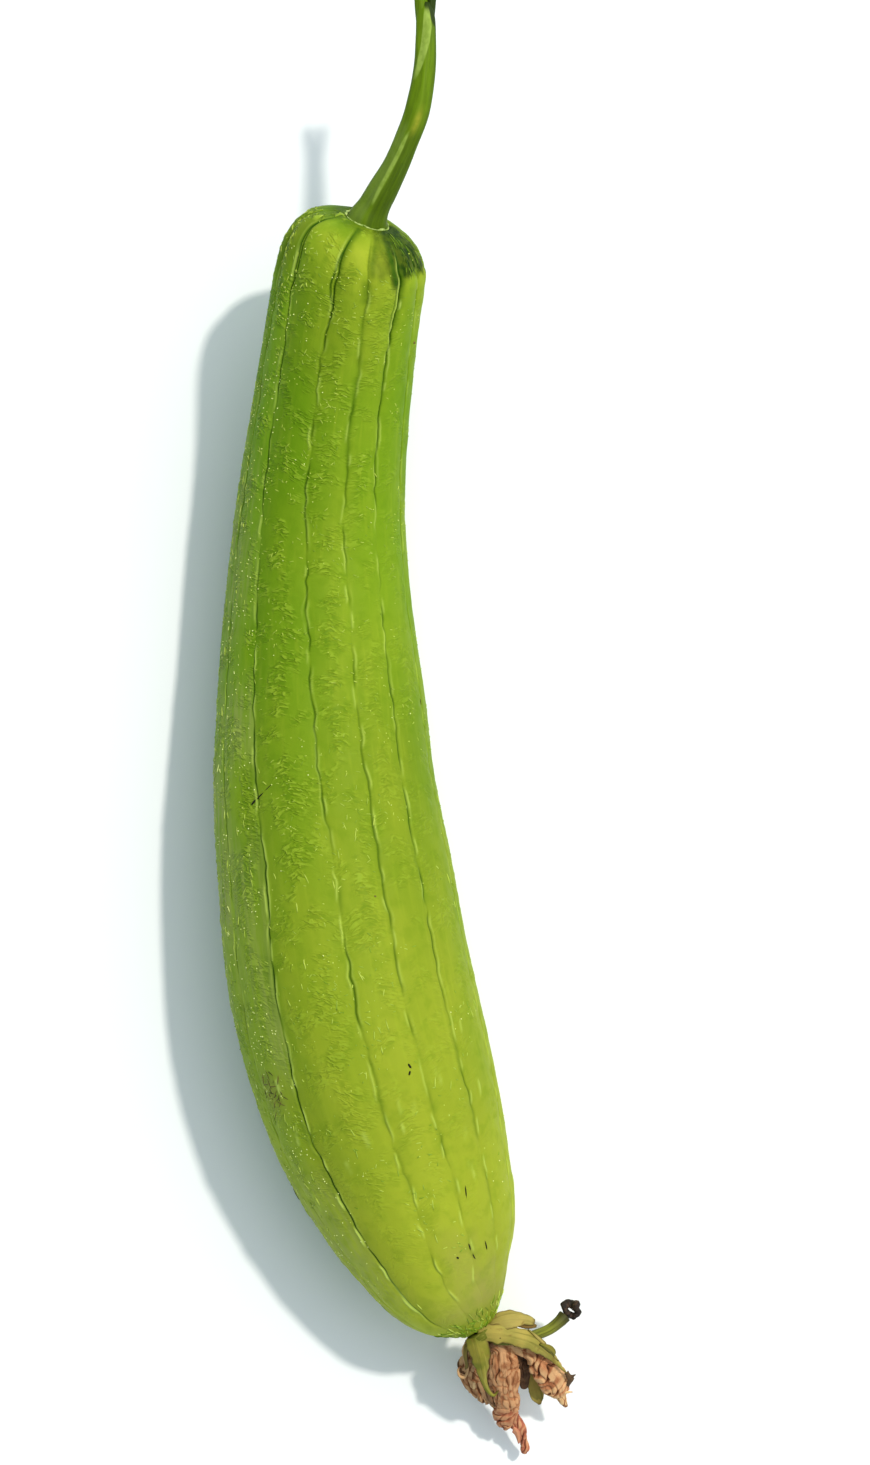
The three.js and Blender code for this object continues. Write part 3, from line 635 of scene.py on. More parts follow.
class Surface:
    """One material: its nodes, each made by one call, and the colour laid on so far."""

    def __init__(self, name, *color):
        self.material = bpy.data.materials.new(name)
        self.material.use_nodes = True
        self.tree = self.material.node_tree
        self.tree.nodes.clear()
        self.color = rgb(*color)

    def add(self, kind, inputs, **settings):
        node = self.tree.nodes.new("ShaderNode" + kind)
        for key, value in settings.items():
            setattr(node, key, value)
        for key, value in inputs.items():
            if isinstance(value, bpy.types.NodeSocket):
                self.tree.links.new(value, node.inputs[key])
            else:
                node.inputs[key].default_value = value
        return node

    def value(self, name):
        return self.add("Attribute", {}, attribute_name=name).outputs["Fac"]

    def vector(self, name="place"):
        return self.add("Attribute", {}, attribute_name=name).outputs["Vector"]

    def stretched(self, vector, x, y, z):
        inputs = {0: vector, 1: (x, y, z)}
        return self.add("VectorMath", inputs, operation="MULTIPLY").outputs[0]

    def noise(self, vector, size, detail=2.0, distortion=0.0):
        inputs = {"Vector": vector, "Scale": 1 / size, "Detail": detail}
        inputs["Distortion"] = distortion
        return self.add("TexNoise", inputs).outputs["Fac"]

    def spots(self, vector, size):
        return self.add("TexVoronoi", {"Vector": vector, "Scale": 1 / size}).outputs["Distance"]

    def ramp(self, value, low, high, to_low=0.0, to_high=1.0):
        inputs = {0: value, 1: low, 2: high, 3: to_low, 4: to_high}
        return self.add("MapRange", inputs, interpolation_type="SMOOTHSTEP").outputs[0]

    def times(self, a, b):
        return self.add("Math", {0: a, 1: b}, operation="MULTIPLY").outputs[0]

    def plus(self, a, b):
        return self.add("Math", {0: a, 1: b}, operation="ADD").outputs[0]

    def coat(self, factor, *color):
        """Lays a colour over the colour so far, by a factor or by one of the piece's values."""
        if isinstance(factor, str):
            factor = self.value(factor)
        inputs = {0: factor, 6: self.color, 7: rgb(*color)}
        self.color = self.add("Mix", inputs, data_type="RGBA").outputs[2]

    def finish(self, roughness, height, depth, specular=0.5, inner_light=0.0, inner_reach=0.0):
        """Joins the colour, the roughness and a height map to the shader."""
        bump = self.add("Bump", {"Height": height, "Distance": depth * MM, "Strength": 1.0})
        inputs = {"Base Color": self.color, "Roughness": roughness, "Normal": bump.outputs[0]}
        inputs["Specular IOR Level"] = specular
        if inner_light:
            inputs["Subsurface Weight"] = inner_light
            inputs["Subsurface Radius"] = inner_reach
            inputs["Subsurface Scale"] = INNER_LIGHT_SCALE
        shader = self.add("BsdfPrincipled", inputs)
        self.add("OutputMaterial", {"Surface": shader.outputs[0]})
        return self.material


def skin_material():
    look = Surface("gourd_skin", 112, 155, 17)
    place = look.vector("skin")
    broad = look.noise(look.stretched(place, 1, 1, 0.35), 14, 3)
    patches = look.noise(place, 5, 3)
    # The yellow is partly ripeness and partly painted light on the shoulder and the sunlit side.
    ripe_and_lit = look.plus(look.value("ripe_and_lit"), look.ramp(broad, 0.3, 0.7, -0.08, 0.08))
    look.coat(look.ramp(ripe_and_lit, 0, 1), 184, 197, 53)
    look.coat(look.ramp(ripe_and_lit, 0.9, 1.4), 184, 182, 86)
    # Painted shade: a deep green laid on by angle, on the left shoulder, round the stem and at the
    # tip.
    look.coat("painted_shade", 20, 34, 2)
    look.coat(look.ramp(patches, 0.48, 0.7, 0, 0.2), 84, 122, 10)
    streaks = look.noise(look.stretched(place, 1, 1, 0.06), 1.6, 2)
    look.coat(look.ramp(streaks, 0.5, 0.75, 0, 0.14), 162, 178, 44)
    wrinkles = look.noise(look.vector("grain"), 0.85, 0.8, 1.1)
    mask = look.times(look.ramp(look.noise(place, 8, 2), 0.44, 0.6), look.value("embossed"))
    # Wrinkles painted paler where they rise and darker where they sink: partly their own colour,
    # partly painted highlight and shade.
    look.coat(look.times(look.ramp(wrinkles, 0.56, 0.62, 0, 0.42), mask), 158, 184, 54)
    look.coat(look.times(look.ramp(wrinkles, 0.44, 0.37, 0, 0.4), mask), 68, 106, 6)
    # A painted pale sheen on the left flank.
    painted_sheen = look.times(look.value("painted_sheen"), look.ramp(streaks, 0.35, 0.65, 0.3, 1))
    look.coat(painted_sheen, 158, 164, 98)
    look.coat("rust", 128, 118, 64)
    # The right shoulder's dark patch: partly own colour, partly painted shadow.
    patchy = look.ramp(look.noise(look.stretched(place, 1, 1, 0.2), 1.8, 2), 0.35, 0.65)
    shoulder = look.times(look.value("shoulder"), look.ramp(patchy, 0, 1, 0.84, 1))
    look.coat(shoulder, 28, 54, 4)
    # Painted shade beside the lines.
    look.coat("shade", 48, 88, 4)
    # Grooves dark partly by their own colour and partly as painted shade, then lips and dashes pale
    # partly as painted highlight.
    look.coat("line", 38, 78, 0)
    look.coat("stitch", 196, 217, 100)
    embossed = look.times(look.ramp(wrinkles, 0.4, 0.64), mask)
    height = look.plus(embossed, look.times(patches, 0.4))
    rough = look.ramp(patches, 0.3, 0.7, 0.5, 0.66)
    inner = {"inner_light": 0.06, "inner_reach": (0.004, 0.006, 0.001)}
    return look.finish(rough, height, depth=0.26, specular=0.05, **inner)


def stroke_material():
    look = Surface("pale_strokes", 104, 140, 20)
    place = look.vector()
    uneven = look.ramp(look.noise(place, 3, 2), 0, 1, -0.2, 0.2)
    tone = look.plus(look.value("tone"), uneven)
    look.coat(look.ramp(tone, 0, 1), 194, 210, 88)
    look.coat(look.ramp(tone, 1, 1.4), 236, 244, 156)
    look.coat(look.ramp(tone, 0, -0.5), 60, 90, 14)
    return look.finish(0.55, look.noise(place, 0.3, 2), depth=0.03, specular=0.15)


def mark_material():
    look = Surface("dark_marks", 24, 26, 8)
    noise = look.noise(look.vector(), 0.8, 3)
    tone = look.plus(look.value("tone"), look.ramp(noise, 0.3, 0.7, -0.15, 0.15))
    look.coat(look.ramp(tone, 0, 1), 124, 104, 56)
    return look.finish(0.8, noise, depth=0.05, specular=0.2)


def collar_material():
    look = Surface("pale_collar", 116, 146, 44)
    noise = look.noise(look.vector(), 1.6, 3)
    look.coat(look.ramp(noise, 0.35, 0.65), 186, 204, 118)
    return look.finish(0.6, noise, depth=0.2, specular=0.3)


def stem_material():
    look = Surface("stem", 84, 110, 6)
    place = look.vector("grain")
    streaks = look.noise(look.stretched(place, 1, 1, 0.08), 0.9, 3)
    patches = look.noise(place, 7, 2)
    look.coat(look.ramp(streaks, 0.3, 0.75), 102, 132, 8)
    look.coat(look.ramp(patches, 0.5, 0.7, 0, 0.3), 110, 140, 20)
    look.coat("ridge", 126, 148, 40)
    # Painted shade on the shaded faces and edges.
    look.coat("shade", 30, 46, 6)
    uneven = look.ramp(look.noise(place, 2.4, 3), 0.3, 0.6, 0.55, 0.95)
    # A painted grey sheen and painted highlight streaks; the ochre spot is where a leaf grew.
    look.coat(look.times(look.value("grey_sheen"), uneven), 112, 134, 52)
    look.coat(look.times(look.value("painted_highlight"), uneven), 148, 172, 72)
    look.coat(look.times(look.value("ochre"), uneven), 156, 158, 44)
    look.coat("cut", 150, 168, 92)
    height = look.plus(streaks, look.times(look.noise(place, 0.5, 2), 0.3))
    rough = look.ramp(patches, 0.3, 0.7, 0.5, 0.65)
    inner = {"inner_light": 0.05, "inner_reach": (0.002, 0.003, 0.001)}
    return look.finish(rough, height, depth=0.18, specular=0.12, **inner)


def sepal_material():
    look = Surface("sepal", 124, 124, 34)
    place = look.vector()
    veins = look.noise(look.stretched(look.vector("grain"), 1, 0.07, 1), 0.9, 3)
    patches = look.noise(place, 6, 3)
    look.coat(look.ramp(patches, 0.35, 0.65), 158, 144, 56)
    look.coat("green", 98, 102, 24)
    look.coat("tan", 176, 154, 86)
    look.coat(look.ramp(veins, 0.56, 0.7, 0, 0.45), 86, 88, 18)
    look.coat(look.ramp(veins, 0.42, 0.34, 0, 0.35), 176, 164, 78)
    look.coat(look.ramp(look.noise(place, 3.2, 3, 0.6), 0.6, 0.7, 0, 0.5), 122, 92, 36)
    look.coat("brown", 112, 82, 36)
    look.coat("edge", 70, 48, 18)
    look.coat(look.ramp(look.spots(place, 5.5), 0.075, 0.05, 0, 0.9), 50, 38, 14)
    return look.finish(0.7, look.plus(veins, patches), depth=0.2, specular=0.2)


def petal_material():
    look = Surface("dry_petal", 152, 96, 56)
    fibres = look.noise(look.stretched(look.vector("grain"), 1, 0.1, 1), 0.7, 3)
    patches = look.noise(look.vector(), 2.6, 3)
    fold = look.value("fold")
    look.coat(look.ramp(patches, 0.35, 0.65), 186, 128, 84)
    look.coat(look.ramp(fibres, 0.5, 0.68, 0, 0.6), 122, 68, 36)
    look.coat(look.ramp(fibres, 0.46, 0.32, 0, 0.6), 214, 160, 114)
    look.coat("pink", 186, 98, 80)
    # The folds' tops are painted lighter and cream and their creases dark: painted highlight and
    # shade on the folds.
    look.coat(look.ramp(fold, 0.8, 1.05, 0, 0.6), 222, 168, 120)
    look.coat(look.times(look.value("cream_and_highlight"), look.ramp(fold, 0.7, 1.05)), 230, 194, 138)
    look.coat(look.ramp(fold, 0.7, 0.15, 0, 0.95), 78, 40, 16)
    look.coat("dark", 44, 30, 18)
    return look.finish(0.8, look.plus(fibres, patches), depth=0.2, specular=0.2)


def style_material():
    look = Surface("style", 84, 88, 12)
    streaks = look.noise(look.stretched(look.vector("grain"), 1, 1, 0.1), 0.9, 3)
    look.coat(look.ramp(streaks, 0.35, 0.65), 118, 122, 28)
    look.coat("dark", 40, 34, 12)
    return look.finish(0.6, streaks, depth=0.1, specular=0.25)


def stigma_material():
    look = Surface("dry_stigma", 26, 20, 14)
    place = look.vector()
    look.coat(look.ramp(look.noise(place, 1.2, 3), 0.4, 0.75), 74, 54, 38)
    return look.finish(0.7, look.noise(place, 0.4, 3), depth=0.15, specular=0.3)


def floor_material():
    look = Surface("pale_floor", 240, 243, 245)
    tone = look.noise(look.add("TexCoord", {}).outputs["Object"], 0.4, 2)
    look.coat(tone, 243, 246, 248)
    return look.finish(0.9, tone, depth=0.0)


# The fruit


def column_shares(count):
    """Shares of the way from one line to the next, crowded at both lines."""
    even = np.arange(count) / count
    return even - CROWDING * np.sin(2 * np.pi * even) / (2 * np.pi)


def line_angles(stations):
    """Each line's angle at each station in radians, one row for each station."""
    drift = np.interp(stations, LINE_STATIONS, LINE_DRIFT)
    columns = [
        angles[0] + drift if len(angles) == 1 else np.interp(stations, LINE_STATIONS, angles)
        for angles in LINES
    ]
    return np.radians(np.stack(columns, axis=1))


def wandering(stations, radii, angles):
    """The lines' angles with each line swaying a little to either side of its way."""
    swayed = angles.copy()
    for line in range(angles.shape[1]):
        path = line_path(stations, line)
        sway = lumps(path, size=13, seed=11) + 0.7 * lumps(path, size=4, seed=12)
        sway = sway + 0.3 * lumps(path, size=2, seed=14)
        swayed[:, line] += LINE_WANDER * sway * progress(stations, 4, 16) / radii
    return swayed


def skin_grid():
    """Where each point of the fine skin is: arrays with a row for each ring."""
    outline = with_distance([[station, radius, 0] for station, radius in OUTLINE])
    places = np.linspace(0, outline[-1, 0], SKIN_RINGS)
    stations, radii = smooth_rows(outline, places)[:, :2].T
    starts = wandering(stations, radii, line_angles(stations))
    ends = np.roll(starts, -1, axis=1)
    ends[:, -1] += 2 * np.pi
    band = np.repeat(np.arange(len(LINES)), BAND_COLUMNS)
    share = np.concatenate([column_shares(count) for count in BAND_COLUMNS])
    angle = starts[:, band] + (ends[:, band] - starts[:, band]) * share
    from_start = angle - starts[:, band]
    to_end = ends[:, band] - angle
    after = to_end < from_start
    return {
        "station": stations[:, None],
        "radius": radii[:, None],
        "angle": angle,
        "degrees": (np.degrees(angle) + 180) % 360 - 180,
        "share": share,
        "band": band,
        "starts": starts,
        "line": np.where(after, (band + 1) % len(LINES), band),
        "off": np.where(after, -to_end, from_start) * radii[:, None],
    }


def stitches():
    """Short raised dashes beside the lines: line, start, length, offset, slant and height."""
    random = np.random.default_rng(STITCH_SEED)
    found = []
    for line in range(len(LINES)):
        station = random.uniform(*STITCH_START)
        while station < STITCH_END:
            kind = BOLD_STITCH if station > STITCH_STATION else FINE_STITCH
            lengths, slants, heights, gaps = kind
            length = random.uniform(*lengths)
            offset = random.choice([-1, 1]) * random.uniform(*STITCH_OFFSET)
            slant = random.uniform(*slants)
            found.append((line, station, length, offset, slant, random.uniform(*heights)))
            station += length + random.uniform(*gaps)
    stations, offsets, slants, lengths = LOOSE_STITCH
    for line in range(len(LINES)):
        for station in random.uniform(*stations, LOOSE_COUNT):
            offset = random.uniform(*offsets) * random.choice([-1, 1])
            slant = random.uniform(*slants)
            length = random.uniform(*lengths)
            found.append((line, station, length, offset, slant, LOOSE_HEIGHT))
    return found


def stretch_of(grid, start, end):
    """The rings of the skin between two stations, and their shares of the way from start to end."""
    stations = grid["station"][:, 0]
    rings = np.flatnonzero((stations > start) & (stations < end))
    rings = rings[rings >= FIRST_SKIN_RING]
    return rings, (grid["station"][rings] - start) / (end - start)


def beside_line(grid, rings, line):
    """Each point's distance across the skin from a line, for the rings given."""
    turn = grid["angle"][rings] - grid["starts"][rings][:, [line]]
    return ((turn + np.pi) % (2 * np.pi) - np.pi) * grid["radius"][rings]


def stitch_relief(grid):
    """Height of the dashes over the skin, and how pale they are, partly as painted highlight, at
    each point of the grid.
    """
    height = np.zeros_like(grid["angle"])
    pale = np.zeros_like(height)
    for line, start, length, offset, slant, tall in stitches():
        rings, share = stretch_of(grid, start, start + length)
        across = beside_line(grid, rings, line) - offset - slant * (share - 0.5)
        shape = bump_shape(across, STITCH_HALF_WIDTH) * tapered(share, 4)
        height[rings] += tall * shape
        pale[rings] = np.maximum(pale[rings], shape * min(1, tall * 3.5))
    return height, pale


def line_strength(grid):
    """How strong the nearest line is at each point of the grid, from 0 to 1."""
    strength = np.full(grid["angle"].shape, HIDDEN_STRENGTH)
    for line, row in enumerate(LINE_STRENGTH):
        along = np.interp(grid["station"], LINE_STATIONS, row)
        strength = np.where(grid["line"] == line, along, strength)
    return strength


def fork_creases(grid):
    """How much of a second crease there is at each point of the grid, from 0 to 1."""
    found = np.zeros_like(grid["angle"])
    for line, start, end, reach in FORKS:
        rings, share = stretch_of(grid, start, end)
        across = beside_line(grid, rings, line) - reach * np.sin(np.pi * share)
        found[rings] = np.maximum(found[rings], bump_shape(across, GROOVE_HALF_WIDTH))
    return found


def soft_shades(grid):
    """How dark the soft painted shades beside the lines are at each point, with the long ones
    patchy.
    """
    found = np.zeros_like(grid["angle"])
    for line, start, end, offset, half_width, strength in SHADES:
        rings, share = stretch_of(grid, start, end)
        shape = bump_shape(beside_line(grid, rings, line) - offset, half_width)
        shape = strength * shape * tapered(share, 5)
        if end - start > LONG_SHADE:
            path = line_path(grid["station"][rings], line, 9)
            shape = shape * np.clip(0.6 + 1.2 * lumps(path, size=9, seed=17), 0.05, 1)
        found[rings] = np.maximum(found[rings], shape)
    return found


def unbroken_share(station, strength, path):
    """How much of its groove a line has at each point: it fails in places, mostly low down."""
    share = 0.3 + 0.6 * strength
    share = share + 1.1 * lumps(path, size=7, seed=3) + 0.5 * lumps(path, size=19, seed=4)
    share = share - 0.7 * progress(station, 250, 300) * (strength < STRONG_LINE)
    at_stem = np.minimum(progress(station, 30, 10), 0.8)
    return np.maximum(np.clip(share, 0.05, 1), at_stem) * strength


def skin_relief(grid):
    """Height of the fine relief over the plain outline, and the values that colour it."""
    station, angle, off = grid["station"], grid["angle"], grid["off"]
    groove, bulge = straight_rows(RELIEF, station)
    flat = grid_of(grid["radius"] * np.sin(angle), grid["radius"] * np.cos(angle), station)
    path = line_path(station, grid["line"])
    strength = line_strength(grid)
    share = unbroken_share(station, strength, path)
    inside = np.maximum(bump_shape(off, GROOVE_HALF_WIDTH) * share, 0.8 * fork_creases(grid))
    lip_side = np.clip(6 * lumps(path, size=22, seed=7), -1, 1)
    lip = bump_shape(off - lip_side * LIP_OFFSET, LIP_HALF_WIDTH) * share
    lip = lip * np.clip(0.45 + 1.3 * lumps(path, size=9, seed=13), 0, 1)
    fade = progress(station, 0, 8) * progress(station, FRUIT_LENGTH, FRUIT_LENGTH - 10)
    slanted = (station + 0.3 * np.abs(off)) / 1.3
    chevron = grid_of(flat[..., 0] / WRINKLE_LENGTH, flat[..., 1] / WRINKLE_LENGTH, slanted)
    wrinkled_places = np.clip(1.5 * lumps(flat, size=16, seed=6) + 0.6, 0, 1)
    wrinkles = lumps(chevron, size=1, seed=5) * wrinkled_places
    stitch_height, pale = stitch_relief(grid)
    grid["flat"] = flat
    grid["chevron"] = chevron
    # The grooves are darkened by their depth: partly the lines' own dark green, partly painted
    # shade in the grooves.
    grid["dark"] = np.clip(1.3 * inside, 0, 1) * np.clip(groove / FULL_GROOVE, 0, 1)
    # The lips and dashes are paled: partly their own paler colour, partly painted highlight on
    # their raised tops.
    vivid = 0.45 + 0.55 * progress(strength, 0.6, STRONG_LINE)
    grid["pale"] = np.maximum(0.9 * pale, 0.7 * lip) * vivid * fade
    return (
        -bulge * (2 * grid["share"] - 1) ** 2
        - groove * inside
        + LIP_HEIGHT * lip * fade
        + BROAD_LUMPS * lumps(flat, size=27, seed=1) * fade
        + FINE_LUMPS * lumps(flat, size=4.5, seed=2) * fade
        + WRINKLE_HEIGHT * wrinkles * fade * np.clip(np.abs(off) / 2, 0, 1)
        + stitch_height * fade
    )


def skin_points(grid):
    """The points of the fine skin, pressed flat where the fruit rests."""
    reach = grid["radius"] + skin_relief(grid)
    point, _, side, upper = frames_along(SPINE, grid["station"][:, 0])
    sideways, upwards = reach * np.sin(grid["angle"]), reach * np.cos(grid["angle"])
    points = turned_points(point, side, upper, sideways, upwards)
    points[..., 2] = np.maximum(points[..., 2], 0)
    return points


def ripeness_and_painted_light(grid):
    """How yellow the skin is: more towards the tip, and, as painted light, on the shoulder and the
    sunlit side.
    """
    along = straight_rows(YELLOW_ALONG, grid["station"])[0]
    return np.clip(along + straight_rows(PAINTED_LIGHT_AROUND, grid["degrees"])[0], 0, 1.5)


def painted_shading(grid):
    """How much painted shade the skin has: least on the left flank, more on the lit right of the
    thick half, on the left shoulder, round the stem and at the tip.
    """
    station, degrees = grid["station"], grid["degrees"]
    thick_half = straight_rows(PAINTED_SHADE_THICK_HALF, degrees)[0] * progress(station, 120, 180)
    shoulder = 0.4 * progress(station, 28, 14) * progress(degrees, -42, -60)
    ends = 0.12 * progress(station, 359, 368) + 0.25 * progress(station, 1.6, 0.4)
    return straight_rows(PAINTED_SHADE_AROUND, degrees)[0] + shoulder + ends + thick_half


def shoulder_patch(grid):
    """The dark green patch on the right shoulder beside the stem, with a ragged end: partly the
    skin's own colour, partly a painted shadow of a leaf.
    """
    degrees = grid["degrees"]
    uneven = lumps(grid["flat"] * [1, 1, 0.6], size=3, seed=9)
    ragged = lumps(grid["flat"] * [1, 1, 0.25], size=1.3, seed=15)
    middle = straight_rows(PATCH_STRENGTH, degrees)[0] * (degrees < PATCH_SIDE)
    side = progress(degrees - 6 * ragged, 128, 92) * (degrees >= PATCH_SIDE)
    shape = np.maximum(side, middle)
    shape = np.clip(shape + 0.12 * ragged * (shape > 0), 0, 1)
    end = straight_rows(PATCH_ENDS, degrees)[0] + uneven + 1.4 * ragged
    return shape * progress(grid["station"], end, end - 3.5)


def left_painted_sheen(grid):
    """How much painted sheen there is: a pale tint on the lower left flank, in patches."""
    flank = np.maximum(bump_shape(grid["degrees"] + 90, 34), 0.45 * (grid["band"] == 0))
    patches = np.clip(0.7 + lumps(grid["flat"] * [1, 1, 0.5], size=12, seed=10), 0, 1)
    return 0.9 * flank * progress(grid["station"], 20, 130) * patches


def scar_rust(grid):
    """The brown tint round the scar on the left flank."""
    along = bump_shape(grid["station"] - SCAR_MIDDLE[0], 5)
    return 0.35 * along * bump_shape(grid["degrees"] - SCAR_MIDDLE[1], 8)


def embossing(grid):
    """How much the skin is wrinkled: most in the middle of a band, and little at the tip."""
    along = straight_rows(WRINKLED_ALONG, grid["station"])[0]
    across = straight_rows(WRINKLED_AROUND, grid["degrees"])[0]
    return along * across * (0.45 + 0.55 * np.sin(np.pi * grid["share"]))


def fruit(material, grid, points):
    values = {
        "line": grid["dark"],
        "stitch": grid["pale"],
        "ripe_and_lit": ripeness_and_painted_light(grid),
        "painted_shade": painted_shading(grid),
        "shoulder": shoulder_patch(grid),
        "shade": soft_shades(grid),
        "painted_sheen": left_painted_sheen(grid),
        "rust": scar_rust(grid),
        "embossed": embossing(grid),
        "skin": grid["flat"],
        "grain": grid["chevron"],
    }
    values = {key: value[:, ::-1] for key, value in values.items()}
    loft_piece("fruit_skin", points[:, ::-1], material, "gourd_skin", "fruit", **values)


def on_skin(grid, points, stations, angles):
    """Places on the skin at stations and angles, with their side, along and outward vectors."""
    ring_stations = grid["station"][FIRST_SKIN_RING:, 0]
    rings = FIRST_SKIN_RING + np.searchsorted(ring_stations, stations, side="right") - 1
    rings = np.clip(rings, FIRST_SKIN_RING, SKIN_RINGS - 2)
    columns = points.shape[1]
    found = []
    for ring, station, angle in zip(rings, stations, angles):
        row = grid["angle"][ring]
        turned = (angle - row[0]) % (2 * np.pi) + row[0]
        place = np.interp(turned, row, np.arange(columns))
        column = min(int(place), columns - 2)
        start, end = grid["station"][ring, 0], grid["station"][ring + 1, 0]
        near = points[ring, column]
        beside = points[ring, column + 1] - near
        ahead = points[ring + 1, column] - near
        share = np.clip((station - start) / (end - start), 0, 1)
        found.append([near + beside * (place - column) + ahead * share, beside, ahead])
    place, side, along = np.moveaxis(np.array(found), 1, 0)
    side, along = unit(side), unit(along)
    return place, side, along, unit(np.cross(side, along)) * -1


def random_strokes():
    """Rows of strokes strewn over the skin, each with the same values as a row of MARKS."""
    random = np.random.default_rng(STROKE_SEED)
    rows = []
    for kind in (*CROWDED, *EVEN):
        count, first, last, from_angle, to_angle, heading, spread, *limits = kind
        stations = random.uniform(first, last, count)
        angles = random.uniform(from_angle, to_angle, count)
        place = SKIN_RADIUS * np.radians(angles)
        crowd = lumps(grid_of(stations, place, 0), size=11, seed=8)
        crowd = crowd + random.uniform(-0.6, 0.6, count)
        calm = np.clip((angles - 10) / 60, 0, 0.6) + np.clip((stations - 280) / 80, 0, 0.6)
        if kind is DOTS:
            calm = np.clip((angles + 45) / 60, -0.3, 1)
        headings = random.normal(heading, spread, count)
        sizes = [random.uniform(*ends, count) for ends in zip(limits[::2], limits[1::2])]
        made = np.column_stack([stations, angles, headings, *sizes])
        rows.append(made[crowd > calm - 0.15] if kind in CROWDED else made)
    return np.concatenate(rows)


def scar_fibres():
    """Rows of short crossing fibres at the brown scar on the left flank."""
    random = np.random.default_rng(FIBRE_SEED)
    middles = zip(SCAR_MIDDLE, SCAR_SPREAD)
    places = [random.normal(middle, spread, SCAR_FIBRES) for middle, spread in middles]
    return np.column_stack(places + [random.uniform(*ends, SCAR_FIBRES) for ends in FIBRE_RANGES])


def strokes(name, material, grid, points, rows):
    """Low closed domes on the skin, one for each row, with their widest ring under the skin."""
    found = on_skin(grid, points, rows[:, 0], np.radians(rows[:, 1]))
    kept = found[0][:, 2] > LOWEST_STROKE
    place, side, along, out, rows = (values[kept] for values in (*found, rows))
    heading, half_length, half_width, height, tone = rows[:, 2:].T
    heading = np.radians(heading)[:, None]
    long_way = side * np.cos(heading) + along * np.sin(heading)
    wide_way = np.cross(out, long_way)
    turn = turns(STROKE_CORNERS)
    bend = half_width * np.sin(97 * tone)

    def ring(level, spread):
        ahead = np.outer(half_length * spread, np.cos(turn))[..., None]
        across = np.outer(half_width * spread, np.sin(turn))
        across += bend[:, None] * np.cos(turn) ** 2 * spread**2
        shift = long_way[:, None] * ahead
        raised = out[:, None] * level[:, None, None]
        return place[:, None] + shift + wide_way[:, None] * across[..., None] + raised

    low, high = ring(np.full(len(rows), -STROKE_SINK), 1), ring(0.72 * height, 0.62)
    top = place + out * height[:, None]
    cloud = np.concatenate([low, high, top[:, None]], axis=1)
    faces = []
    for base in np.arange(len(rows)) * cloud.shape[1]:
        peak = base + 2 * STROKE_CORNERS
        for j in range(STROKE_CORNERS):
            a, b = base + j, base + (j + 1) % STROKE_CORNERS
            faces.append((a, b, b + STROKE_CORNERS, a + STROKE_CORNERS))
            faces.append((a + STROKE_CORNERS, b + STROKE_CORNERS, peak))
        faces.append(tuple(base + j for j in reversed(range(STROKE_CORNERS))))
    tones = np.repeat(tone, cloud.shape[1])
    make_piece(name, cloud, faces, material, "gourd_skin", tone=tones)


def collar(material):
    """The pale uneven rim on the shoulder where the stem grows out of it."""
    point, along, side, upper = frames_along(SPINE, np.array([COLLAR_STATION]))
    turn, tube_turn = turns(COLLAR_SIDES[0])[:, None], turns(COLLAR_SIDES[1])[None, :]
    out = side * np.cos(turn) + upper * np.sin(turn)
    middle = point + out * (COLLAR_RADIUS + 0.5 * lumps(out * 10, size=4, seed=81))[:, None]
    wrapped = grid_of(10 * np.cos(turn), 10 * np.sin(turn), tube_turn)
    tube = COLLAR_TUBE * np.clip(0.65 + 1.1 * lumps(wrapped, size=2, seed=82), 0.25, 1.4)
    across, upwards = tube * np.cos(tube_turn), -tube * np.sin(tube_turn)
    ring_tube("fruit_collar", middle, out, along[0], across, upwards, material, "gourd_skin")


# Stem, calyx and withered flower


def ridged_stalk(rows, sides, step, ridges, share, seed, roughness=0.05):
    """Rings of a ridged stalk, its ridge value, and its own grain coordinates."""
    places, radius, frames = stepped(rows, step)
    angle = -turns(sides)[None, :]
    wave = np.cos(ridges * angle + 0.02 * places)
    around = grid_of(STALK_GRAIN * np.sin(angle), STALK_GRAIN * np.cos(angle), places)
    uneven = lumps(around * [1, 1, 0.3], size=2.2, seed=seed) * roughness
    reach = radius * (1 + share * wave + uneven)
    rings = turned_points(*frames, reach * np.sin(angle), reach * np.cos(angle))
    return rings, np.clip(wave, 0, 1) ** 3, around


def highlight_streak_of(grain, rows):
    """How much of a painted highlight there is: rows of distance along, place to the left and half
    width.
    """
    left, along = grain[..., 0] / STALK_GRAIN, grain[..., 2]
    middle, half_width = straight_rows(rows, along)
    first, last = rows[0][0], rows[-1][0]
    ends = progress(along, first, first + 2) * progress(along, last, last - 2)
    inside = np.clip((half_width - np.abs(left - middle)) / 0.08, 0, 1)
    return inside * ends * (grain[..., 1] > 0)


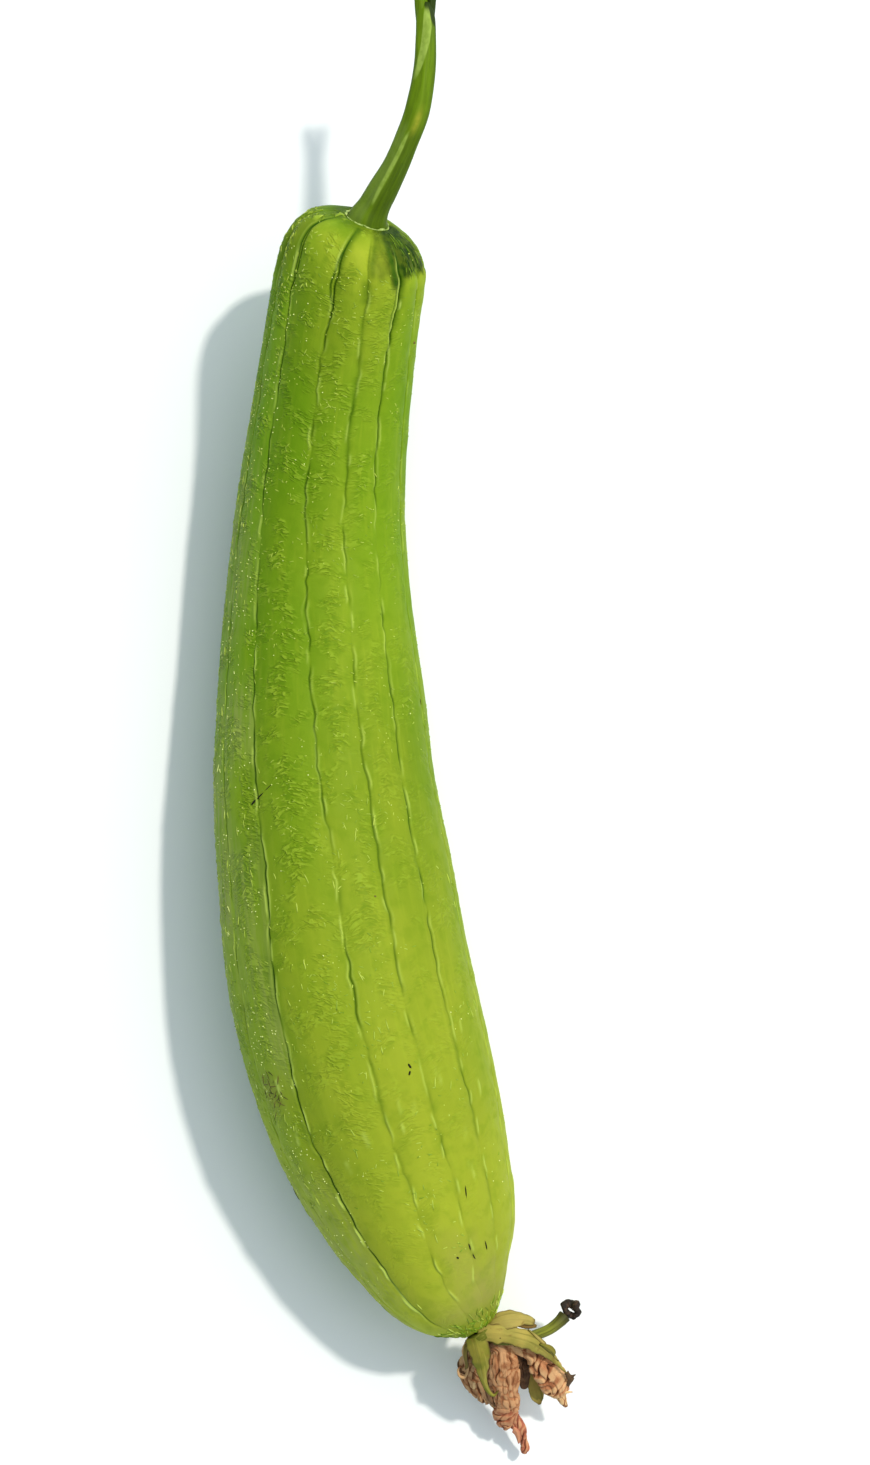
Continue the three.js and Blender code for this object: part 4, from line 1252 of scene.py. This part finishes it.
def stem_tints(name, grain):
    """Where the stem is painted with highlights, a sheen and shade, and its ochre spot, for each of
    its three parts.
    """
    if name != "stem_stalk":
        # The right shoot is painted dark all over: painted shade.
        shade = 0.9 * (name == "stem_right_shoot")
        return {"painted_highlight": 0, "ochre": 0, "grey_sheen": 0, "shade": shade}
    left, along = grain[..., 0] / STALK_GRAIN, grain[..., 2]
    low = progress(along, STEM_NODE, STEM_NODE - 5)
    # Painted shade on the right face below the node, where a leaf that is not built casts its
    # shadow, and at the stem's outer edges.
    dark_side = 0.4 * low * progress(left, 0.05, -0.1)
    outer_edges = 0.4 * progress(np.abs(left), 0.82, 0.97)
    # Painted shade on the right shoot's shaded side, reaching down below the fork.
    below_fork = np.clip((-left - 0.05 - 0.16 * (FORK_DISTANCE - along)) / 0.12, 0, 1)
    return {
        "painted_highlight": np.maximum(*[highlight_streak_of(grain, rows) for rows in HIGHLIGHT_STREAKS]),
        "ochre": bump_shape(along - STEM_NODE, 3.5) * bump_shape(left + 0.3, 0.25),
        # The grey on the left face below the node is a painted sheen.
        "grey_sheen": 0.7 * low * progress(left, 0.1, 0.3),
        "shade": np.maximum(np.maximum(dark_side, outer_edges), 0.9 * below_fork),
    }


def stem(material):
    for name, (sides, ridges, share, rows) in STEM.items():
        rings, ridge, grain = ridged_stalk(rows, sides, STEM_STEP, ridges, share, len(name))
        cut = np.zeros_like(ridge)
        if name != "stem_stalk":
            cut[-1] = 1
        tints = stem_tints(name, grain)
        values = {"ridge": ridge * 0.12, "grain": grain, "cut": cut, **tints}
        loft_piece(name, rings, material, "stem", "peduncle", **values)


def from_tip(rows):
    moved = np.array(rows, float)
    moved[:, :3] += TIP
    return moved


def leaf_sheet(rows, seed, thickness, keel, ruffle, tear, across, step):
    """Rings of a thin leaf with a keel, waved faces and torn edges, its edge value and grain."""
    places, values, frames = stepped(from_tip(rows), step)
    half_width = np.maximum(values[:, :1], 0.15)
    v = np.linspace(-1, 1, across)[None, :]
    both = np.concatenate([v, -v], axis=1)
    path = grid_of(places, 2 * both, 9.7 * seed)
    edge_path = grid_of(places, 20 * np.sign(both), 0)
    torn = 1 + tear * lumps(edge_path, size=2.2, seed=seed)
    torn = torn + tear * 0.6 * lumps(edge_path, size=0.9, seed=seed + 1)
    sideways = both * half_width * torn
    wave = ruffle * lumps(path, size=3.4, seed=seed + 2) * (0.35 + np.abs(both))
    wave = wave * np.minimum(half_width, 2) / 2
    face = np.repeat([-0.5, 0.5], across)[None, :]
    thick = thickness * (1 - 0.75 * both**4)
    rib = 0.16 * bump_shape(both * half_width, 0.3)
    upwards = keel * half_width * (1 - np.abs(both)) + wave + face * (thick + rib)
    edge = progress(np.abs(both), 0.78, 1) ** 1.5
    edge = edge * np.clip(0.75 + lumps(edge_path, size=2.6, seed=seed + 3), 0, 1)
    edge = np.maximum(edge, 0.8 * progress(places / places[-1], 0.93, 1))
    return turned_points(*frames, sideways, upwards), edge, grid_of(sideways, places, seed)


def cup(material):
    """The cup that carries the sepals, turned round the tip's axis."""
    axis = unit(TIP_AXIS)
    side = unit(np.cross([0, 0, 1], axis))[None]
    distance, radius = np.array(CUP, float).T[..., None]
    angle = -turns(CUP_SIDES)[None, :]
    around = grid_of(3 * np.sin(angle), 3 * np.cos(angle), distance)
    reach = radius * (1 + 0.05 * lumps(around, size=1.6, seed=CUP_SEED))
    frames = (TIP + axis * distance, side, np.cross(axis, side))
    rings = turned_points(*frames, reach * np.sin(angle), reach * np.cos(angle))
    values = {"edge": 0, "grain": around, "brown": 0, "green": 1, "tan": 0}
    loft_piece("calyx_cup", rings, material, "sepal", "calyx", **values)


def calyx(material):
    for name, (seed, brown, green, tan, rows) in SEPALS.items():
        rings, edge, grain = leaf_sheet(rows, seed, *SEPAL_SHEET)
        root = 0.8 * progress(grain[..., 1], 5, 0)
        values = {
            "edge": edge,
            "grain": grain,
            "brown": brown,
            "green": np.maximum(root, green),
            "tan": np.minimum(1 - root, tan),
        }
        loft_piece(name, rings, material, "sepal", "calyx", **values)
    cup(material)


def folds(around, spacing, heading, stray, seed):
    """How far each point is from the creases between side by side folds, from 0 to 1."""
    turn = np.radians(heading)
    across = around[..., 0] + 0.6 * around[..., 1]
    place = across * np.cos(turn) + around[..., 2] * np.sin(turn)
    place = place + stray * lumps(around, size=4, seed=seed)
    place = place + 0.3 * stray * lumps(around, size=1.6, seed=seed + 1)
    path = grid_of(9.1 * np.round(place / spacing), 0, around[..., 2] / 5)
    open_share = np.clip(0.45 - lumps(path, size=1, seed=seed + 2), 0, 0.9)
    crease = np.clip(1.9 * np.abs(np.sin(np.pi * place / spacing)), 0, 1) ** 0.7
    return np.maximum(crease, open_share)


def plates(points, size, seed):
    """How far each point is from the creases between plates of about a size, from 0 to 1."""
    return np.clip(np.abs(lumps(points, size, seed)) / 0.24, 0, 1) ** 0.55


def shrivelled(rows, spacing, heading, stray, depth, seed):
    """Rings of a petal shrivelled into folds, its fold value, grain and shares of its length."""
    places, values, frames = stepped(from_tip(rows), PETAL_STEP)
    half_width, half_thickness = values[:, :1], values[:, 1:2]
    angle = -turns(PETAL_SIDES)[None, :]
    around = grid_of(half_width * np.sin(angle), half_thickness * np.cos(angle), places)
    plate = folds(around, spacing, heading, stray, seed + 1)
    plate = plate * (0.6 + 0.4 * plates(around * [1, 1, 0.4], 0.7 * spacing, seed + 4))
    reach = 1.1 - 1.3 * depth * (1 - plate) + 0.14 * lumps(around, size=5, seed=seed + 7)
    sideways = half_width * reach * np.sin(angle)
    upwards = half_thickness * reach * np.cos(angle)
    rings = turned_points(*frames, sideways, upwards)
    rings[..., 2] = np.maximum(rings[..., 2], LOWEST_PETAL)
    fold = plate + 0.25 * lumps(around, size=2, seed=seed + 8)
    return rings, fold, grid_of(angle * half_width, places, seed), places / places[-1]


def corolla(material):
    kind = (material, "dry_petal", "withered_corolla")
    for i, (name, shape) in enumerate(PETALS.items()):
        *form, pink, cream_and_highlight, dark, rows = shape
        rings, fold, grain, share = shrivelled(rows, *form, PETAL_SEED + 10 * i)
        # The petals are painted dark at their roots: a painted shadow of the sepals over them.
        dark = np.maximum(0.8 * progress(share, 0.16, 0), dark)
        values = {"fold": fold, "grain": grain, "pink": pink, "cream_and_highlight": cream_and_highlight, "dark": dark}
        loft_piece(name, rings, *kind, **values)
    for i, (name, (dark, pink, cream_and_highlight, rows)) in enumerate(SCRAPS.items()):
        rings, edge, grain = leaf_sheet(rows, SCRAP_SEED + i, *SCRAP_SHEET)
        fold = 1 - 0.6 * edge
        values = {"fold": fold, "grain": grain, "pink": pink, "cream_and_highlight": cream_and_highlight, "dark": dark}
        loft_piece(name, rings, *kind, **values)


def style(material):
    rings, _, grain = ridged_stalk(from_tip(STYLE), *STYLE_STALK)
    dark = 0.85 * progress(np.linspace(0, 1, len(rings))[:, None], 0.72, 1)
    loft_piece("style_stalk", rings, material, "style", "style", dark=dark, grain=grain)


def stigma(material):
    """A dried head of lobes round a narrow slot."""
    degrees = np.linspace(-180, 180, STIGMA_SIDES[0], endpoint=False)
    outer = straight_rows(STIGMA_REACH, degrees)[0]
    length, width, heading = STIGMA_SLOT
    from_slot = np.radians(degrees - heading)
    inner = 1 / np.hypot(np.cos(from_slot) / length, np.sin(from_slot) / width)
    turn = np.radians(degrees)
    out = np.column_stack([np.cos(turn), np.sin(turn), 0 * turn])
    middle = TIP + np.array(STIGMA_MIDDLE) + out * ((outer + inner) / 2)[:, None]
    middle[:, 2] += 0.6 * np.sin(2 * turn + 1)
    tube_turn = turns(STIGMA_SIDES[1])[None, :]
    wrapped = grid_of(2 * np.cos(turn)[:, None], 2 * np.sin(turn)[:, None], np.sin(tube_turn))
    uneven = 1 + 0.24 * lumps(wrapped, size=1.1, seed=71)
    uneven = uneven + 0.12 * lumps(wrapped, size=0.45, seed=72)
    across = ((outer - inner) / 2)[:, None] * np.cos(tube_turn) * (0.5 + 0.5 * uneven)
    upwards = STIGMA_HALF_HEIGHT * np.sin(tube_turn) * uneven
    kind = (material, "dry_stigma", "stigma")
    ring_tube("stigma_head", middle, out, np.array([0, 0, 1]), across, upwards, *kind)


# Floor, lights and camera


def floor():
    half = FLOOR_SIZE / 2 * MM
    mesh = bpy.data.meshes.new("pale_floor")
    corners = [(-half, -half, 0), (half, -half, 0), (half, half, 0), (-half, half, 0)]
    mesh.from_pydata(corners, [], [(0, 1, 2, 3)])
    mesh.materials.append(floor_material())
    placed("pale_floor", mesh)


def sun_light(name, way, angle, strength, color):
    light = bpy.data.lights.new(name, "SUN")
    light.energy = strength
    light.angle = np.radians(angle)
    light.color = color
    lamp = placed(name, light)
    lamp.rotation_mode = "QUATERNION"
    lamp.rotation_quaternion = Vector(way).to_track_quat("Z", "Y")


def lights():
    world = bpy.data.worlds.new("pale_sky")
    world.use_nodes = True
    sky = world.node_tree.nodes["Background"]
    sky.inputs["Color"].default_value = (*SKY_COLOR, 1.0)
    sky.inputs["Strength"].default_value = SKY_STRENGTH
    bpy.context.scene.world = world
    sun_light("clear_sun", *CLEAR_SUN)
    sun_light("wide_light", *WIDE_LIGHT)


def camera():
    lens = bpy.data.cameras.new("view")
    lens.lens = LENS_MM
    lens.sensor_width = SENSOR_MM
    lens.clip_end = CLIP_END
    eye = placed("view", lens)
    eye.location = [value * MM for value in CAMERA_PLACE]
    bpy.context.scene.camera = eye


camera()
lights()
floor()
bpy.context.scene.view_settings.view_transform = "Standard"

skin = skin_grid()
skin_surface = skin_points(skin)
fruit(skin_material(), skin, skin_surface)
strokes("fruit_strokes", stroke_material(), skin, skin_surface, random_strokes())
marks = np.concatenate([MARKS, scar_fibres()])
strokes("fruit_marks", mark_material(), skin, skin_surface, marks)
collar(collar_material())
stem(stem_material())
calyx(sepal_material())
corolla(petal_material())
style(style_material())
stigma(stigma_material())
